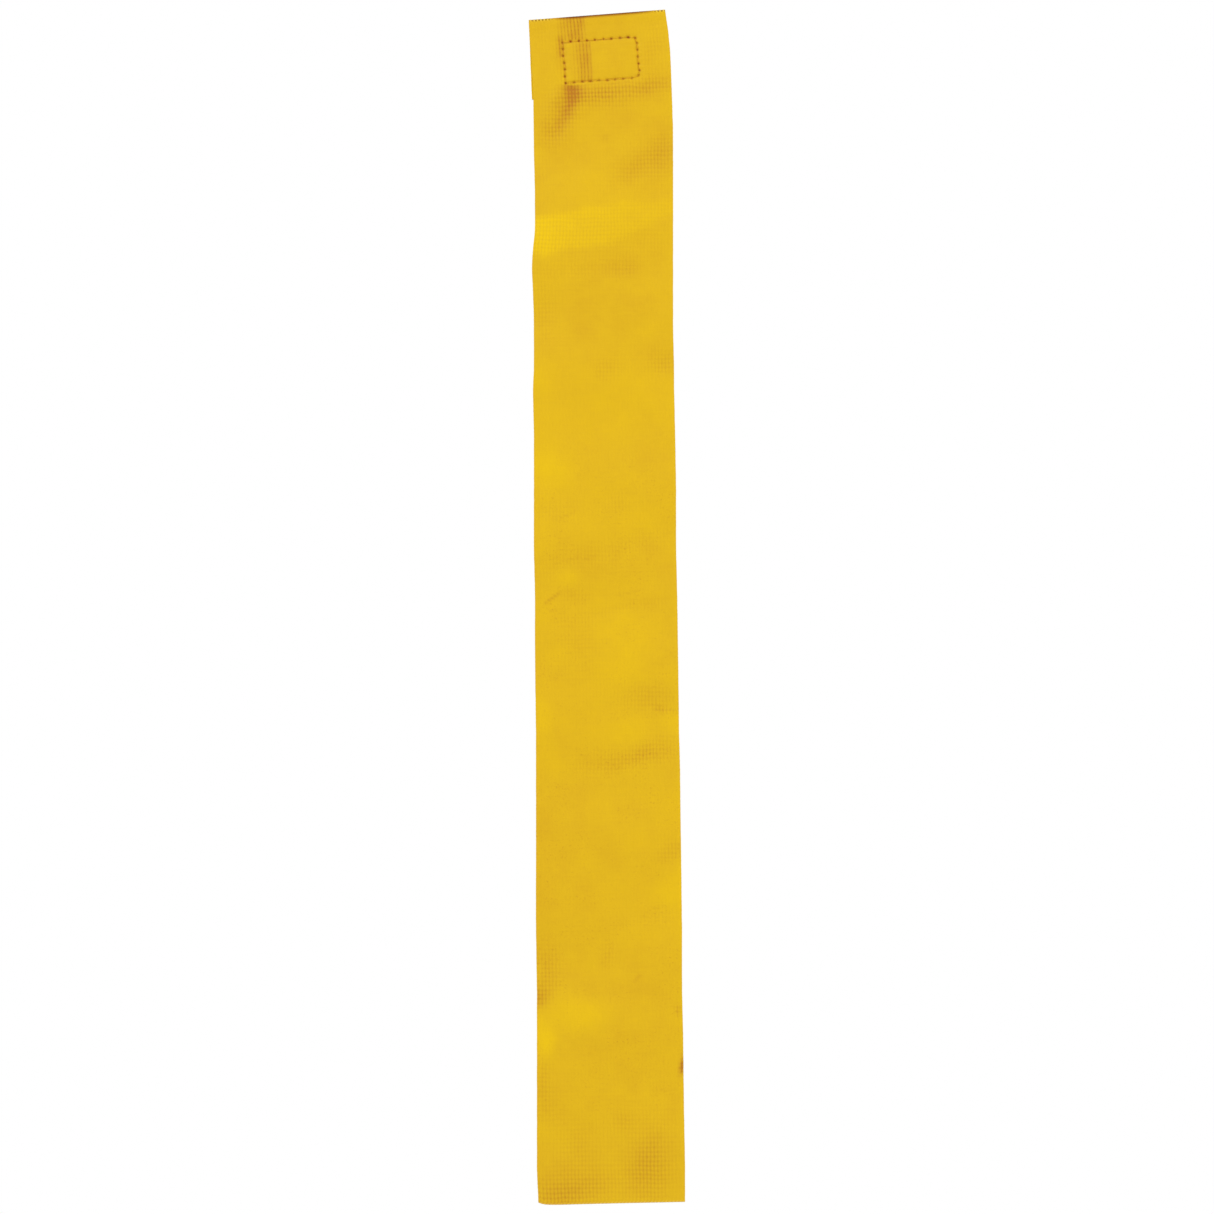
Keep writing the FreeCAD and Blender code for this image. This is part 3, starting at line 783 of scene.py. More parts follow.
def coated_fabric():
    net = Net("coated_fabric_yellow")
    across, along, _ = net.split(net.uv("yarns"))   # counted in yarns
    cos_across = net.math("COSINE", across * TWO_PI)
    cos_along = net.math("COSINE", along * TWO_PI)
    over = net.math("SINE", across * math.pi) * net.math("SINE", along * math.pi)
    grid = cos_across * 0.64 + cos_along * 0.40 + over * 0.16
    gap_across = (0.5 - cos_across * 0.5) ** 1.5
    gap_along = (0.5 - cos_along * 0.5) ** 1.5
    weave = net.attr("weave")
    tone = net.attr("tone")
    painted_shade = net.attr("painted_shade")

    # broad clouds, fine grain, and smears drawn out along the strip's width
    flat = net.combine(across * YARN_X, along * YARN_DOWN)
    cloud = net.noise(flat, scale=0.09, detail=4.0, rough=0.55)
    grain = net.noise(flat, scale=3.2, detail=3.0, rough=0.6)
    stretched = net.combine(across * (YARN_X * 0.35), along * (YARN_DOWN * 1.6))
    smear = net.noise(stretched, scale=0.55, detail=4.0, rough=0.62)

    # filaments: along the warp where it lies over, along the weft elsewhere
    warp = net.noise(net.combine(across * 9.0, along * 0.9), scale=1.0, detail=2.0, rough=0.6)
    weft = net.noise(net.combine(across * 0.8, along * 9.0), scale=1.0, detail=2.0, rough=0.6)
    is_warp = (over * 3.0 + 0.5).clamp()
    filament = net.filled("ShaderNodeMix", {0: is_warp, 2: weft, 3: warp}, data_type="FLOAT")

    # each texture shifts the tone a little to both sides
    tone = tone + (cloud - 0.5) * 0.22
    tone = tone + (filament - 0.5) * 0.5 * (0.08 + weave)
    tone = tone + (smear - 0.5) * 0.20
    tone = tone + (grain - 0.5) * 0.16
    # the coat is finely pitted along the middle of the strip
    middle = ((along - 92.0) * 0.05).clamp() * ((262.0 - along) * 0.05).clamp()
    speck = ((net.noise(flat, scale=1.15, detail=2.0, rough=0.5) - 0.58) * 7.0).clamp()
    patchy = ((net.noise(flat, scale=0.07, detail=3.0, rough=0.6) - 0.40) * 3.5).clamp()
    tone = tone - speck * middle * patchy * 0.42
    # the weave's valleys hold a little more colour and shade
    valley = (gap_across * 0.64 + gap_along * 0.42 - over * 0.06) * weave
    tone = tone - valley * 1.15
    # in the pinched band only the warp shows, as upright ribs, with painted shade in the valleys
    # between them
    rib = (0.5 - cos_across * 0.5) ** 1.8
    weft_gap = 0.5 - cos_along * 0.5
    uneven = 0.36 + net.noise(flat, scale=0.55, detail=3.0, rough=0.6) * 0.82
    uneven = uneven + weft_gap * 0.20
    tone = tone - rib * uneven * (net.attr("pucker") * 0.52)

    # painted light and shade: tone above 0 mixes towards the lit colour, below 0 towards the shaded
    # one; the tone also carries the coat's own mottling
    colour = net.mix(net.math("MAXIMUM", tone, 0.0).clamp(), COAT_BASE, COAT_PALE_AND_LIT)
    colour = net.mix((tone * -1.0).clamp(), colour, COAT_DARK_AND_SHADED)
    # painted shade: where warp and weft valleys cross in the pinched band, a small deep spot
    spot = rib ** 2.0 * weft_gap ** 3.0
    spot = spot * (net.attr("pucker") * net.noise(flat, scale=0.8, detail=2.0, rough=0.5))
    colour = net.mix((spot * 0.42).clamp(), colour, PINCH_SHADE_BROWN)
    # painted shade in the needle holes and along the crest
    colour = net.mix((painted_shade * 0.95).clamp(), colour, PAINTED_SHADE_RED_BROWN)
    # painted shade below 0 and painted highlight above 0, along the turned edge
    colour = net.mix((net.attr("painted_highlight_and_shade") * -1.0).clamp(), colour, PAINTED_SHADE_DARK_BROWN)
    colour = net.mix((net.attr("painted_highlight_and_shade") * 0.85).clamp(), colour, PAINTED_HIGHLIGHT_PALE)
    # the cut edge shows the yarns of the base cloth
    yarn_ends = 0.55 + net.math("SINE", (across + along) * TWO_PI) * 0.45
    colour = net.mix(net.attr("edge") * 0.75, colour,
                     net.mix(yarn_ends, CUT_YARN_DARK, CUT_YARN_PALE))

    normal = net.bump(grid * (0.12 + weave), strength=0.8, distance=0.00012)
    normal = net.bump(filament * (0.12 + weave * 1.6), strength=0.6, distance=0.00007, below=normal)
    normal = net.bump(grain, strength=0.25, distance=0.00003, below=normal)
    normal = net.bump(smear, strength=0.35, distance=0.00012, below=normal)
    return net.surface(colour, roughness=0.52 + (smear - 0.5) * 0.22 + valley * 0.10,
                       specular=0.09, normal=normal)


TAPE_WEFT, TAPE_WARP = 0.85, 0.55         # yarn spacing along and across the tape


def tape_material():
    net = Net("hook_tape_woven")
    place = net.place()
    upright = net.filled("ShaderNodeVectorRotate", {"Vector": place, "Angle": LEAN},
                         rotation_type="Y_AXIS")
    x, _, z = net.split(upright)
    phase_x = x * (TWO_PI / (TAPE_WEFT / 1000))
    phase_z = z * (TWO_PI / (TAPE_WARP / 1000))
    sine_x = net.math("SINE", phase_x)
    sine_z = net.math("SINE", phase_z)
    over = net.math("SINE", phase_x * 0.5) * net.math("SINE", phase_z * 0.5)
    relief = sine_x * 0.35 + sine_z * 0.45 + over * 0.5
    fuzz = net.noise(place, scale=900.0, detail=4.0, rough=0.6)
    cloud = net.noise(place, scale=90.0, detail=3.0, rough=0.5)
    bright = (relief * 0.22 + (0.10 + fuzz * 0.75)).clamp()
    colour = net.mix(bright, rgb(176, 120, 26), rgb(229, 184, 48))
    colour = net.mix(cloud * 0.35, colour, rgb(205, 150, 30))
    # painted shade in the needle holes and along the seam; browned where the ends were heat-cut
    colour = net.mix((net.attr("painted_shade") * 0.75).clamp(), colour, rgb(120, 66, 16))
    colour = net.mix((net.attr("singe") * 0.55).clamp(), colour, rgb(168, 112, 24))
    normal = net.bump(relief, strength=0.8, distance=0.00010)
    normal = net.bump(fuzz, strength=0.5, distance=0.00006, below=normal)
    return net.surface(colour, roughness=0.72, specular=0.18, normal=normal)


def hook_material():
    net = Net("monofilament_yellow")
    tip = net.attr("tip")
    cloud = net.noise(net.place(), scale=700.0, detail=3.0, rough=0.5)
    # paler towards the tips, slightly translucent
    colour = net.mix((tip * 0.55 + cloud * 0.35).clamp(), rgb(188, 132, 30), rgb(240, 208, 92))
    inputs = net.shader.inputs
    inputs["Subsurface Weight"].default_value = 0.15
    inputs["Subsurface Radius"].default_value = (0.0006, 0.0004, 0.0001)
    inputs["Subsurface Scale"].default_value = 1.0
    return net.surface(colour, roughness=0.26 + cloud * 0.18, specular=0.35,
                       normal=net.bump(cloud, strength=0.15, distance=0.00003))


THREAD_LAY = 0.55                         # length of one ply's twist


def thread_material(name, sunk_shade_colour):
    net = Net(name)
    along, around, _ = net.split(net.uv("thread"))
    # two plies laid round each other, each of many filaments
    twist = net.math("SINE", along * (TWO_PI / THREAD_LAY) + around * (TWO_PI * 2))
    filament = net.math("SINE", along * (TWO_PI / 0.30) + around * (TWO_PI * 9))
    relief = twist * 0.7 + filament * 0.3
    sunk = net.attr("sunk")
    colour = net.mix((0.5 + relief * 0.4).clamp(), rgb(214, 150, 22), rgb(250, 196, 30))
    # painted shade: the thread darkens where it sinks into a hole
    colour = net.mix((sunk * 0.85).clamp(), colour, sunk_shade_colour)
    return net.surface(colour, roughness=0.58, specular=0.22,
                       normal=net.bump(relief, strength=0.7, distance=0.00005))


def floor_material():
    """A pale floor that runs out into the white backdrop with distance."""
    net = Net("pale_floor")
    place = net.place()
    cloud = net.noise(place, scale=3.0, detail=3.0, rough=0.5)
    x, y, _ = net.split(place)
    # fades from 0.25 m out, over 1.5 m, for the camera only
    far = net.math("SQRT", x * x + y * y)
    far = ((far - 0.25) * (1.0 / 1.5)).clamp()
    far = far * (2.0 - far)
    seen = net.filled("ShaderNodeLightPath", {}, output="Is Camera Ray")
    glow = net.filled("ShaderNodeEmission", {0: (1, 1, 1, 1), 1: 1.0})
    plain = Value(net, net.shader.outputs[0])
    faded = net.filled("ShaderNodeMixShader", {0: far * seen, 1: plain, 2: glow})
    net.put(net.output.inputs[0], faded)
    return net.surface(net.mix(cloud, (0.86, 0.86, 0.86, 1), (0.90, 0.90, 0.90, 1)),
                       roughness=0.9, specular=0.1)


FABRIC = coated_fabric()
TAPE = tape_material()
HOOKS = hook_material()
THREAD = thread_material("sewing_thread_front", sunk_shade_colour=rgb(150, 88, 24))
THREAD_BACK = thread_material("sewing_thread_back", sunk_shade_colour=rgb(150, 96, 26))


# ---------------------------------------------------------------------------
# mesh helpers
# ---------------------------------------------------------------------------
def mesh_object(name, points, faces, material):
    """A smooth-shaded object from points in mm."""
    mesh = bpy.data.meshes.new(name)
    mesh.from_pydata([tuple(point) for point in (points * MM).tolist()], [], faces)
    mesh.validate(clean_customdata=False)
    mesh.polygons.foreach_set("use_smooth", np.ones(len(mesh.polygons), bool))
    mesh.materials.append(material)
    ob = bpy.data.objects.new(name, mesh)
    bpy.context.scene.collection.objects.link(ob)
    return ob


def turn_outward(mesh, by_volume):
    """Face a closed mesh outward: as a whole by its volume, or face by face."""
    bm = bmesh.new()
    bm.from_mesh(mesh)
    if not by_volume:
        bmesh.ops.recalc_face_normals(bm, faces=bm.faces[:])
    elif bm.calc_volume(signed=True) < 0:
        bmesh.ops.reverse_faces(bm, faces=bm.faces[:])
    bm.to_mesh(mesh)
    bm.free()


def point_attr(mesh, name, values):
    attribute = mesh.attributes.new(name, "FLOAT", "POINT")
    attribute.data.foreach_set("value", np.asarray(values, np.float32).ravel())


def corner_uv(mesh, name, per_vertex):
    layer = mesh.uv_layers.new(name=name)
    index = np.zeros(len(mesh.loops), np.int32)
    mesh.loops.foreach_get("vertex_index", index)
    layer.data.foreach_set("uv", np.asarray(per_vertex, np.float32)[index].ravel())


def ring_quads(rings, sides, base=0):
    """Faces between successive closed rings of points."""
    start = base + np.arange(rings - 1)[:, None] * sides
    here = np.arange(sides)[None, :]
    after = (here + 1) % sides
    quads = [start + here, start + after, start + sides + after, start + sides + here]
    return np.stack(quads, axis=2).reshape(-1, 4).tolist()


def tube_faces(rings, sides, base=0):
    first = [base + i for i in range(sides)]
    last = [base + (rings - 1) * sides + i for i in range(sides)]
    return ring_quads(rings, sides, base) + [first[::-1], last]


def sweep(path, side, other, radii, angles):
    """Points of the rings round a path; side and other span each ring's plane."""
    spokes = (side[:, None] * np.cos(angles)[None, :, None]
              + other[:, None] * np.sin(angles)[None, :, None])
    return (path[:, None] + spokes * radii[:, :, None]).reshape(-1, 3)


# ---------------------------------------------------------------------------
# fabric pieces
# ---------------------------------------------------------------------------
def strip_piece(name, first, last, step, close_start, close_end):
    """Rows first..last of the sheet as one closed solid. Each ring runs along the outer
    side left to right, the right edge, the inner side right to left, the left edge."""
    cols = np.arange(0, COLS, step)
    count = len(cols)
    ring_size = 2 * count + 4
    span = slice(first, last + 1)
    ring_count = last + 1 - first
    outer, inner = OUTER[span][:, cols], INNER[span][:, cols]
    normal_outer, normal_inner = NORMAL_OUTER[span][:, cols], NORMAL_INNER[span][:, cols]
    cloth = CLOTH[span, 0]

    def cut_edge(column, neighbour, phase, seed):
        """Outward direction, and two points in the thickness, a hair proud and uneven."""
        outward = unit(outer[:, column] - outer[:, neighbour])
        proud = (0.035 + 0.020 * np.sin(cloth * 2 * math.pi / YARN_DOWN + phase)
                 + 0.03 * noise(cloth * 0, cloth, 3.0, seed))[:, None]
        near_outer, near_inner = [
            (outer[:, column] * part + inner[:, column] * rest + outward * proud)[:, None]
            for part, rest in ((0.68, 0.32), (0.32, 0.68))]
        return outward[:, None], near_outer, near_inner

    left, left_outer, left_inner = cut_edge(0, 1, phase=0, seed=61)
    right, right_outer, right_inner = cut_edge(-1, -2, phase=1, seed=62)
    ring = np.concatenate(
        [outer, right_outer, right_inner, inner[:, ::-1], left_inner, left_outer], axis=1)
    normals = np.concatenate(
        [normal_outer, right, right, normal_inner[:, ::-1], left, left], axis=1)

    def around(grid):
        part = grid[span][:, cols]
        end, start = part[:, -1:], part[:, :1]
        return np.concatenate([part, end, end, part[:, ::-1], start, start], axis=1)

    def outer_only(grid):
        return np.pad(grid[span][:, cols], ((0, 0), (0, count + 4)))

    def two_sided(outer_ring, inner_ring):
        return np.concatenate([outer_ring[:, :count + 2], inner_ring[:, count + 2:]], axis=1)

    def cap(base):
        def across(i):
            return base + count + 2 + (count - 1 - i)
        faces = [[base + i, across(i), across(i + 1), base + i + 1] for i in range(count - 1)]
        faces.append([base + count - 1, across(count - 1), base + count + 1, base + count])
        faces.append([base, base + ring_size - 1, base + ring_size - 2, across(0)])
        return faces

    faces = ring_quads(ring_count, ring_size) + cap(0)
    faces += [face[::-1] for face in cap((ring_count - 1) * ring_size)]
    ob = mesh_object(name, ring.reshape(-1, 3), faces, FABRIC)
    mesh = ob.data
    turn_outward(mesh, by_volume=True)

    # painted light lifts the hem's inner side; the front layer's inner side is a little darker
    tone_inner = np.where(FRONT[span], -0.12, 0.55) + 0.10 * around(grid_noises((1.0, 14.0, 91)))
    point_attr(mesh, "tone", two_sided(around(TONE), tone_inner))
    point_attr(mesh, "weave", two_sided(around(WEAVE), around(WEAVE_INNER)))
    point_attr(mesh, "painted_shade", outer_only(HOLE_AND_CREST_PAINTED_SHADE))
    point_attr(mesh, "pucker", outer_only(PUCKER))
    point_attr(mesh, "painted_highlight_and_shade", outer_only(PAINTED_HIGHLIGHT_AND_SHADE))
    edge = np.zeros((ring_count, ring_size))
    edge[:, count:count + 2] = 1
    edge[:, -2:] = 1
    edge[:, count - 1] = edge[:, 0] = 0.15
    if close_end:
        edge[-1, :] = 0.8
    if close_start:
        edge[0, :] = 0.8
    point_attr(mesh, "edge", edge)
    corner_uv(mesh, "yarns", np.stack([around(YARN_U), around(YARN_V)], axis=2).reshape(-1, 2))
    mesh.normals_split_custom_set_from_vertices(unit(normals.reshape(-1, 3)).tolist())
    return ob


piece_starts = [0] + PIECE_ENDS[:-1]
for k in range(8):
    heading = k == 0
    ob = strip_piece("strip_fabric_%d" % (k + 1), piece_starts[k], PIECE_ENDS[k],
                     step=1 if heading else 2, close_start=heading, close_end=k == 7)
    reach = 8.0 if heading else 22.0      # a distance either side of its joint
    CLOTH_Y * MM
    (JOINT_Z[k] + reach) * MM
    CLOTH_Y * MM
    (JOINT_Z[k] - reach) * MM
    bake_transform(ob)
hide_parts("strip_heading", "strip_section_1")
for k in range(1, 8):
    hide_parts("strip_section_%d" % (k + 1))


# ---------------------------------------------------------------------------
# threads
# ---------------------------------------------------------------------------
THREAD_R = 0.112
THREAD_SIDES = 10
THREAD_STEP = 0.085                       # spacing of the rings
LOOP_R = 0.25                             # half the width of the loop inside a hole
LOOP_CROSS = 0.13                         # how far the loops reach past mid-thickness
RUN_STEPS = 22                            # samples from hole to hole


def lockstitch(front):
    """Path of one thread, and how far each point is sunk into a hole."""
    inward = 1.0 if front else -1.0
    crown = (FRONT_Y + BACKING_Y) / 2.0 + inward * LOOP_CROSS
    stitches = unit(np.roll(HOLES, -1, axis=0) - HOLES)
    loop_dirs = unit(stitches + np.roll(stitches, 1, axis=0))
    if not front:
        # the back thread's loops stand across the seam
        loop_dirs = np.stack([-loop_dirs[:, 1], loop_dirs[:, 0]], axis=1)
    angle = math.pi * np.arange(9) / 8
    share = np.arange(RUN_STEPS + 1) / RUN_STEPS
    points, sunk = [], []
    for i in range(HOLE_COUNT):
        following = (i + 1) % HOLE_COUNT
        # the loop in this hole
        loop = HOLES[i] - loop_dirs[i] * LOOP_R * np.cos(angle)[:, None]
        loop_y = crown - inward * LOOP_R + inward * LOOP_R * np.sin(angle)
        points.append(np.column_stack([loop[:, 0], loop_y, loop[:, 1]]))
        sunk.append(np.ones(9))
        # up the second leg, over and along to the next hole
        start = HOLES[i] + loop_dirs[i] * LOOP_R
        end = HOLES[following] - loop_dirs[following] * LOOP_R
        run = start + (end - start) * share[:, None]
        if front:
            lift = height(*patch_to_strip(run[:, 0], run[:, 1]))
            surface = CLOTH_Y - lift - THICK / 2.0 - 0.035
        else:
            surface = BACKING_Y + 0.02
        # rounded shoulders where the thread leaves and enters a hole
        gap = np.minimum(share, 1 - share) * np.linalg.norm(end - start)
        run_y = surface + inward * (0.42 * np.exp(-(gap / 0.17) ** 2))
        points.append(np.column_stack([run[:, 0], run_y, run[:, 1]]))
        sunk.append(np.exp(-(gap / 0.32) ** 2))
    points = np.concatenate(points)
    frame_x, frame_z = patch_to_frame(points[:, 0], points[:, 2])
    points = np.stack([frame_x, points[:, 1], frame_z], axis=1)
    # smoothed once, then resampled in even steps
    points[1:-1] = points[1:-1] * 0.6 + (points[:-2] + points[2:]) * 0.2
    length = path_length(points)
    stations = np.arange(0, length[-1], THREAD_STEP)
    path = np.stack([np.interp(stations, length, points[:, axis]) for axis in range(3)], axis=1)
    return path, np.interp(stations, length, np.concatenate(sunk))


def path_length(points):
    steps = np.linalg.norm(np.diff(points, axis=0), axis=1)
    return np.concatenate([[0], np.cumsum(steps)])


def thread_tube(name, path, sunk, material):
    """A two-ply tube; its rings are carried along the path without twisting."""
    tangents = unit(np.gradient(path, axis=0))
    side = np.zeros_like(path)
    carried = unit(np.cross(tangents[0], np.array([0.0, 1.0, 0.0])))
    for i, tangent in enumerate(tangents):
        carried = unit(carried - tangent * (carried @ tangent))
        side[i] = carried
    length = path_length(path)
    angles = np.arange(THREAD_SIDES) / THREAD_SIDES * 2 * math.pi
    lay = length[:, None] * 2 * math.pi / (2 * THREAD_LAY)
    radii = THREAD_R * (1.0 + 0.16 * np.cos(2 * (angles[None, :] + lay)))
    points = sweep(path, side, np.cross(tangents, side), radii, angles)
    ob = mesh_object(name, points, tube_faces(len(path), THREAD_SIDES), material)
    turn_outward(ob.data, by_volume=True)
    corner_uv(ob.data, "thread", np.stack(
        [np.repeat(length, THREAD_SIDES), np.tile(angles / (2 * math.pi), len(path))], axis=1))
    point_attr(ob.data, "sunk", np.repeat(sunk, THREAD_SIDES))
    return ob


for front, name, node, material in ((True, "needle_stitches", "needle_thread", THREAD),
                                    (False, "bobbin_stitches", "bobbin_thread", THREAD_BACK)):
    path, sunk = lockstitch(front)
    ob = thread_tube(name, path, sunk, material)
    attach(ob, "heading")
    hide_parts(node)

# ---------------------------------------------------------------------------
# hooks: rows of cut monofilament loops, each a hook and its stub
# ---------------------------------------------------------------------------
HOOK_ROWS, HOOK_COLS = 12, 24
HOOK_SIDES = 6
HOOK_R = 0.085                            # of the filament
HOOK_BEND_R = 0.30
HOOK_BEND = math.radians(205)
HOOK_ROOT = 0.10                          # sunk into the tape
SEAM_CLEAR = 0.62                         # the seam has flattened the hooks it crosses


def hook_field():
    rng = np.random.RandomState(7)
    tall = CROWN_Y - BACKING_Y
    field_w, field_h = leaning_sides(hook_high[0] - hook_low[0], hook_high[2] - hook_low[2])
    field_w, field_h = field_w - 0.5, field_h - 0.9
    pitch_x, pitch_z = field_w / (HOOK_COLS - 1), field_h / (HOOK_ROWS - 1)
    angles = 2 * math.pi * np.arange(HOOK_SIDES) / HOOK_SIDES
    rise = np.linspace(0, 1, 4)
    bend = np.linspace(0, HOOK_BEND, 9)[1:]
    points, faces, tips = [], [], []
    base = 0
    for row in range(HOOK_ROWS):
        for col in range(HOOK_COLS):
            stagger = 0.5 * pitch_x if row % 2 else 0.0
            x = -field_w / 2 + col * pitch_x + stagger + rng.uniform(-0.13, 0.13)
            z = -field_h / 2 + row * pitch_z + rng.uniform(-0.10, 0.10)
            if abs(x) > field_w / 2 + 0.15 or abs(seam_offset(x, z)) < SEAM_CLEAR:
                continue
            # rows open up and down by turns
            way = 1.0 if row % 2 == 0 else -1.0
            yaw = rng.uniform(-0.30, 0.30)
            opening = unit(np.array([way * math.sin(yaw) * 0.6, way * math.cos(yaw)]))
            top = tall - 0.02 - rng.uniform(0.0, 0.10)
            stem = top - HOOK_BEND_R - HOOK_R
            stub = 0.46 + rng.uniform(-0.08, 0.10)
            # each filament: offset along the opening, height over the tape, tip value
            hook_offset = -HOOK_BEND_R * np.concatenate([np.ones(4), np.cos(bend)])
            hook_rise = np.concatenate([-HOOK_ROOT + (stem + HOOK_ROOT) * rise,
                                        stem + HOOK_BEND_R * np.sin(bend)])
            stub_offset = HOOK_BEND_R + 0.16 * rise * rise
            stub_rise = -HOOK_ROOT + (stub + HOOK_ROOT) * rise
            side_x, side_z = patch_to_frame(opening[1], -opening[0])
            across = unit(np.array([side_x, 0.0, side_z]))
            for offset, lift, tip in ((hook_offset, hook_rise, 1.0),
                                      (stub_offset, stub_rise, 0.45)):
                frame_x, frame_z = patch_to_frame(x + opening[0] * offset, z + opening[1] * offset)
                path = np.stack([frame_x, BACKING_Y + lift, frame_z], axis=1)
                rings = len(path)
                tangents = unit(np.gradient(path, axis=0))
                side = unit(across - tangents * (tangents @ across)[:, None])
                radii = np.full((rings, 1), HOOK_R)
                radii[-1] *= 0.72
                points.append(sweep(path, side, np.cross(tangents, side), radii, angles))
                faces += tube_faces(rings, HOOK_SIDES, base)
                tips.append(np.repeat(tip * np.arange(rings) / (rings - 1), HOOK_SIDES))
                base += rings * HOOK_SIDES
    points = np.concatenate(points)
    points[:, 1] = np.minimum(points[:, 1], CROWN_Y)
    ob = mesh_object("monofilament_hooks", points, faces, HOOKS)
    turn_outward(ob.data, by_volume=False)
    point_attr(ob.data, "tip", np.concatenate(tips))
    return ob


hooks = hook_field()
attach(hooks, "heading")
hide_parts("hook_field")

# ---------------------------------------------------------------------------
# the woven tape that carries the hooks: two corded selvedges (top and bottom),
# two heat-cut ends (left and right), drawn down along the seam
# ---------------------------------------------------------------------------
TAPE_CORNER = 0.6
TAPE_COLS, TAPE_ROWS = 160, 172
TAPE_BULGE = 0.035                        # of the rim at mid-thickness


def tape_sheet():
    # a rounded rectangle turned by the lean: its box gives its two sides back
    rounding = 2 * TAPE_CORNER * (COS_LEAN + SIN_LEAN - 1)
    length, width = leaning_sides(tape_high[0] - tape_low[0] + rounding,
                                  tape_high[2] - tape_low[2] + rounding)
    x, z = np.meshgrid(np.linspace(-length / 2, length / 2, TAPE_COLS + 1),
                       np.linspace(-width / 2, width / 2, TAPE_ROWS + 1), indexing="ij")
    straight_x, straight_z = length / 2 - TAPE_CORNER, width / 2 - TAPE_CORNER
    over_x, over_z = np.abs(x) - straight_x, np.abs(z) - straight_z
    corner = (over_x > 0) & (over_z > 0)
    pull = np.maximum(over_x, over_z) / np.maximum(np.hypot(over_x, over_z), 1e-9)
    round_x = np.where(corner, np.sign(x) * (straight_x + over_x * pull), x)
    round_z = np.where(corner, np.sign(z) * (straight_z + over_z * pull), z)
    # the heat-cut ends are a little uneven, the selvedges scalloped by the weft
    from_end, from_selvedge = length / 2 - np.abs(x), width / 2 - np.abs(z)
    round_x = round_x - np.sign(x) * np.exp(-from_end / 0.8) * (
        0.05 + 0.05 * noise(z, np.sign(x) * 9, 1.1, 201))
    round_z = round_z - np.sign(z) * np.exp(-from_selvedge / 0.5) * (
        0.018 - 0.018 * np.cos(TWO_PI * x / TAPE_WEFT))

    hole = np.zeros(x.shape)
    for hole_x, hole_z in HOLES:
        hole = np.maximum(hole, bell(np.hypot(x - hole_x, z - hole_z), 0.27))
    seam = bell(np.abs(seam_offset(x, z)), 0.30)
    from_rim = np.minimum(from_end, from_selvedge)
    warp = np.cos(TWO_PI * z / TAPE_WARP)
    weft = np.cos(math.pi * x / TAPE_WEFT) * np.cos(math.pi * z / TAPE_WARP)
    back = BACKING_Y - 0.05 + 0.024 * warp + 0.020 * weft
    back = back + 0.045 * np.exp(-((from_selvedge - 0.42) / 0.26) ** 2)   # corded selvedge
    back = back + 0.035 * np.exp(-((from_end - 0.20) / 0.16) ** 2)        # melted bead
    back = back - 0.17 * np.exp(-(from_rim / 0.14) ** 2)                  # rounded rim
    back = back - 0.055 * seam - 0.20 * hole
    back = back + 0.020 * noise(x, z, 2.7, 202)
    face = TAPE_Y + 0.10 * np.exp(-(from_rim / 0.16) ** 2)

    def placed(patch_x, y, patch_z):
        frame_x, frame_z = patch_to_frame(patch_x, patch_z)
        return np.stack([frame_x, y, frame_z], axis=-1).reshape(-1, 3)

    # the rim: one more ring of points between the two faces
    loop = ([(i, 0) for i in range(TAPE_COLS)] + [(TAPE_COLS, j) for j in range(TAPE_ROWS)]
            + [(i, TAPE_ROWS) for i in range(TAPE_COLS, 0, -1)]
            + [(0, j) for j in range(TAPE_ROWS, 0, -1)])
    cols, rows = np.array(loop).T
    rim_x, rim_z = round_x[cols, rows], round_z[cols, rows]
    rim = placed(rim_x + np.sign(rim_x) * TAPE_BULGE * (np.abs(rim_x) > straight_x),
                 ((back + face) / 2)[cols, rows],
                 rim_z + np.sign(rim_z) * TAPE_BULGE * (np.abs(rim_z) > straight_z))
    points = np.concatenate([placed(round_x, back, round_z), placed(round_x, face, round_z), rim])

    count = x.size
    index = np.arange(count).reshape(x.shape)
    quads = np.stack([index[:-1, :-1], index[1:, :-1], index[1:, 1:], index[:-1, 1:]],
                     axis=2).reshape(-1, 4)
    faces = quads.tolist() + (quads[:, ::-1] + count).tolist()
    border = index[cols, rows].tolist()
    for i in range(len(loop)):
        j = (i + 1) % len(loop)
        rim_i, rim_j = 2 * count + i, 2 * count + j
        faces.append([border[j], border[i], rim_i, rim_j])
        faces.append([rim_j, rim_i, border[i] + count, border[j] + count])
    ob = mesh_object("woven_tape", points, faces, TAPE)
    turn_outward(ob.data, by_volume=False)

    # painted shade for the needle holes and the seam
    shade = np.clip(0.9 * hole + 0.25 * seam, 0, 1)
    singe = np.clip(np.exp(-from_end / 0.22), 0, 1)
    point_attr(ob.data, "painted_shade", np.concatenate([shade.ravel(), np.zeros(count + len(loop))]))
    point_attr(ob.data, "singe", np.concatenate([singe.ravel(), singe.ravel(), singe[cols, rows]]))
    return ob


woven = tape_sheet()
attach(woven, "heading")
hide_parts("hook_tape")

# ---------------------------------------------------------------------------
# floor, world and lights, in metres
# ---------------------------------------------------------------------------
FLOOR_HALF = 6
FLOOR_Z = -0.80
FLOOR_CELLS = 40


def build_floor():
    ticks = [-FLOOR_HALF + 2 * FLOOR_HALF * i / FLOOR_CELLS for i in range(FLOOR_CELLS + 1)]
    stride = FLOOR_CELLS + 1
    corners = [j * stride + i for j in range(FLOOR_CELLS) for i in range(FLOOR_CELLS)]
    mesh = bpy.data.meshes.new("floor")
    mesh.from_pydata([(x, y, FLOOR_Z) for y in ticks for x in ticks], [],
                     [[at, at + 1, at + stride + 1, at + stride] for at in corners])
    ob = bpy.data.objects.new("floor", mesh)
    bpy.context.scene.collection.objects.link(ob)
    mesh.materials.append(floor_material())


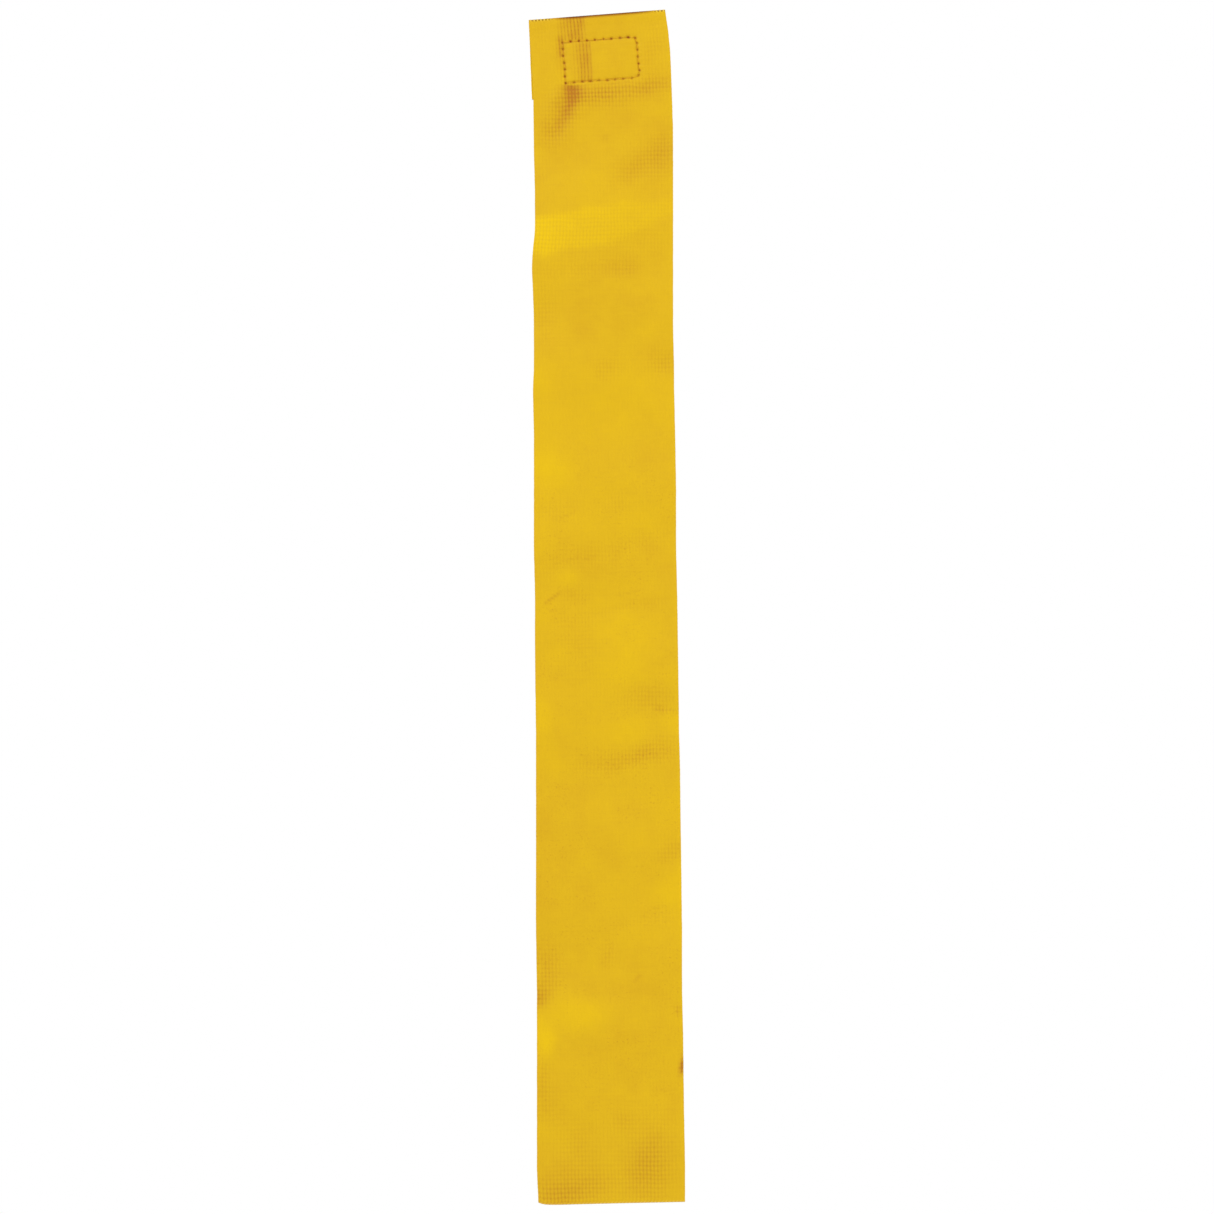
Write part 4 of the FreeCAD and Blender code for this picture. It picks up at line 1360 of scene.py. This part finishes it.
def build_world(fill, seen):
    """White all round: one strength lights the scene, the other is what the camera sees."""
    world = bpy.data.worlds.new("studio")
    bpy.context.scene.world = world
    world.use_nodes = True
    tree = world.node_tree
    tree.nodes.clear()
    output = tree.nodes.new("ShaderNodeOutputWorld")
    path = tree.nodes.new("ShaderNodeLightPath")
    mix = tree.nodes.new("ShaderNodeMixShader")
    tree.links.new(path.outputs["Is Camera Ray"], mix.inputs[0])
    for slot, strength in ((1, fill), (2, seen)):
        background = tree.nodes.new("ShaderNodeBackground")
        background.inputs[0].default_value = (1, 1, 1, 1)
        background.inputs[1].default_value = strength
        tree.links.new(background.outputs[0], mix.inputs[slot])
    tree.links.new(mix.outputs[0], output.inputs[0])


def area_light(name, place, size, power):
    """A rectangular light aimed at the strip's middle."""
    light = bpy.data.lights.new(name, "AREA")
    light.shape = "RECTANGLE"
    light.size, light.size_y = size
    light.energy = power
    ob = bpy.data.objects.new(name, light)
    ob.location = place
    aim = Vector((0.0, FRONT_Y * MM, -0.20)) - Vector(place)
    ob.rotation_euler = aim.to_track_quat("-Z", "Y").to_euler()
    bpy.context.scene.collection.objects.link(ob)


build_floor()
build_world(fill=0.60, seen=1.0)
area_light("key", place=(-0.9, -1.5, 1.5), size=(1.0, 1.0), power=26.0)
area_light("rim", place=(1.5, -0.5, 0.2), size=(0.8, 1.6), power=7.0)
area_light("back", place=(-0.8, 1.6, 0.9), size=(1.4, 1.4), power=20.0)

# ---------------------------------------------------------------------------
# camera: in front and below, tilted up, nearly square to the strip
# ---------------------------------------------------------------------------
CAMERA_TILT = math.radians(12.69)
CAMERA_ROLL = math.radians(0.432)
CAMERA_DISTANCE = 1512.9
CAMERA_AIM = (0.151, 222.03)              # x, down on the front face
SENSOR_W = 36.0
FOCAL_LENGTH = 126.29061


def build_camera():
    aim_x, aim_z = strip_to_frame(*CAMERA_AIM)
    forward = Vector((0, math.cos(CAMERA_TILT), math.sin(CAMERA_TILT)))
    level_up = Vector((0, -math.sin(CAMERA_TILT), math.cos(CAMERA_TILT)))
    level_right = Vector((1, 0, 0))
    right = level_right * math.cos(CAMERA_ROLL) - level_up * math.sin(CAMERA_ROLL)
    up = level_right * math.sin(CAMERA_ROLL) + level_up * math.cos(CAMERA_ROLL)
    place = (Vector((aim_x, FRONT_Y, aim_z)) - forward * CAMERA_DISTANCE) * MM
    data = bpy.data.cameras.new("camera")
    data.sensor_width = SENSOR_W
    data.sensor_fit = "HORIZONTAL"
    data.lens = FOCAL_LENGTH
    data.clip_start = 0.01
    data.clip_end = 50.0
    camera = bpy.data.objects.new("camera", data)
    bpy.context.scene.collection.objects.link(camera)
    rows = [(right[i], up[i], -forward[i], place[i]) for i in range(3)]
    camera.matrix_world = Matrix(rows + [(0, 0, 0, 1)])
    bpy.context.scene.camera = camera


build_camera()

view = bpy.context.scene.view_settings
view.view_transform = "Standard"
view.look = "None"
view.exposure = 0.0
view.gamma = 1.0

bpy.context.view_layer.update()
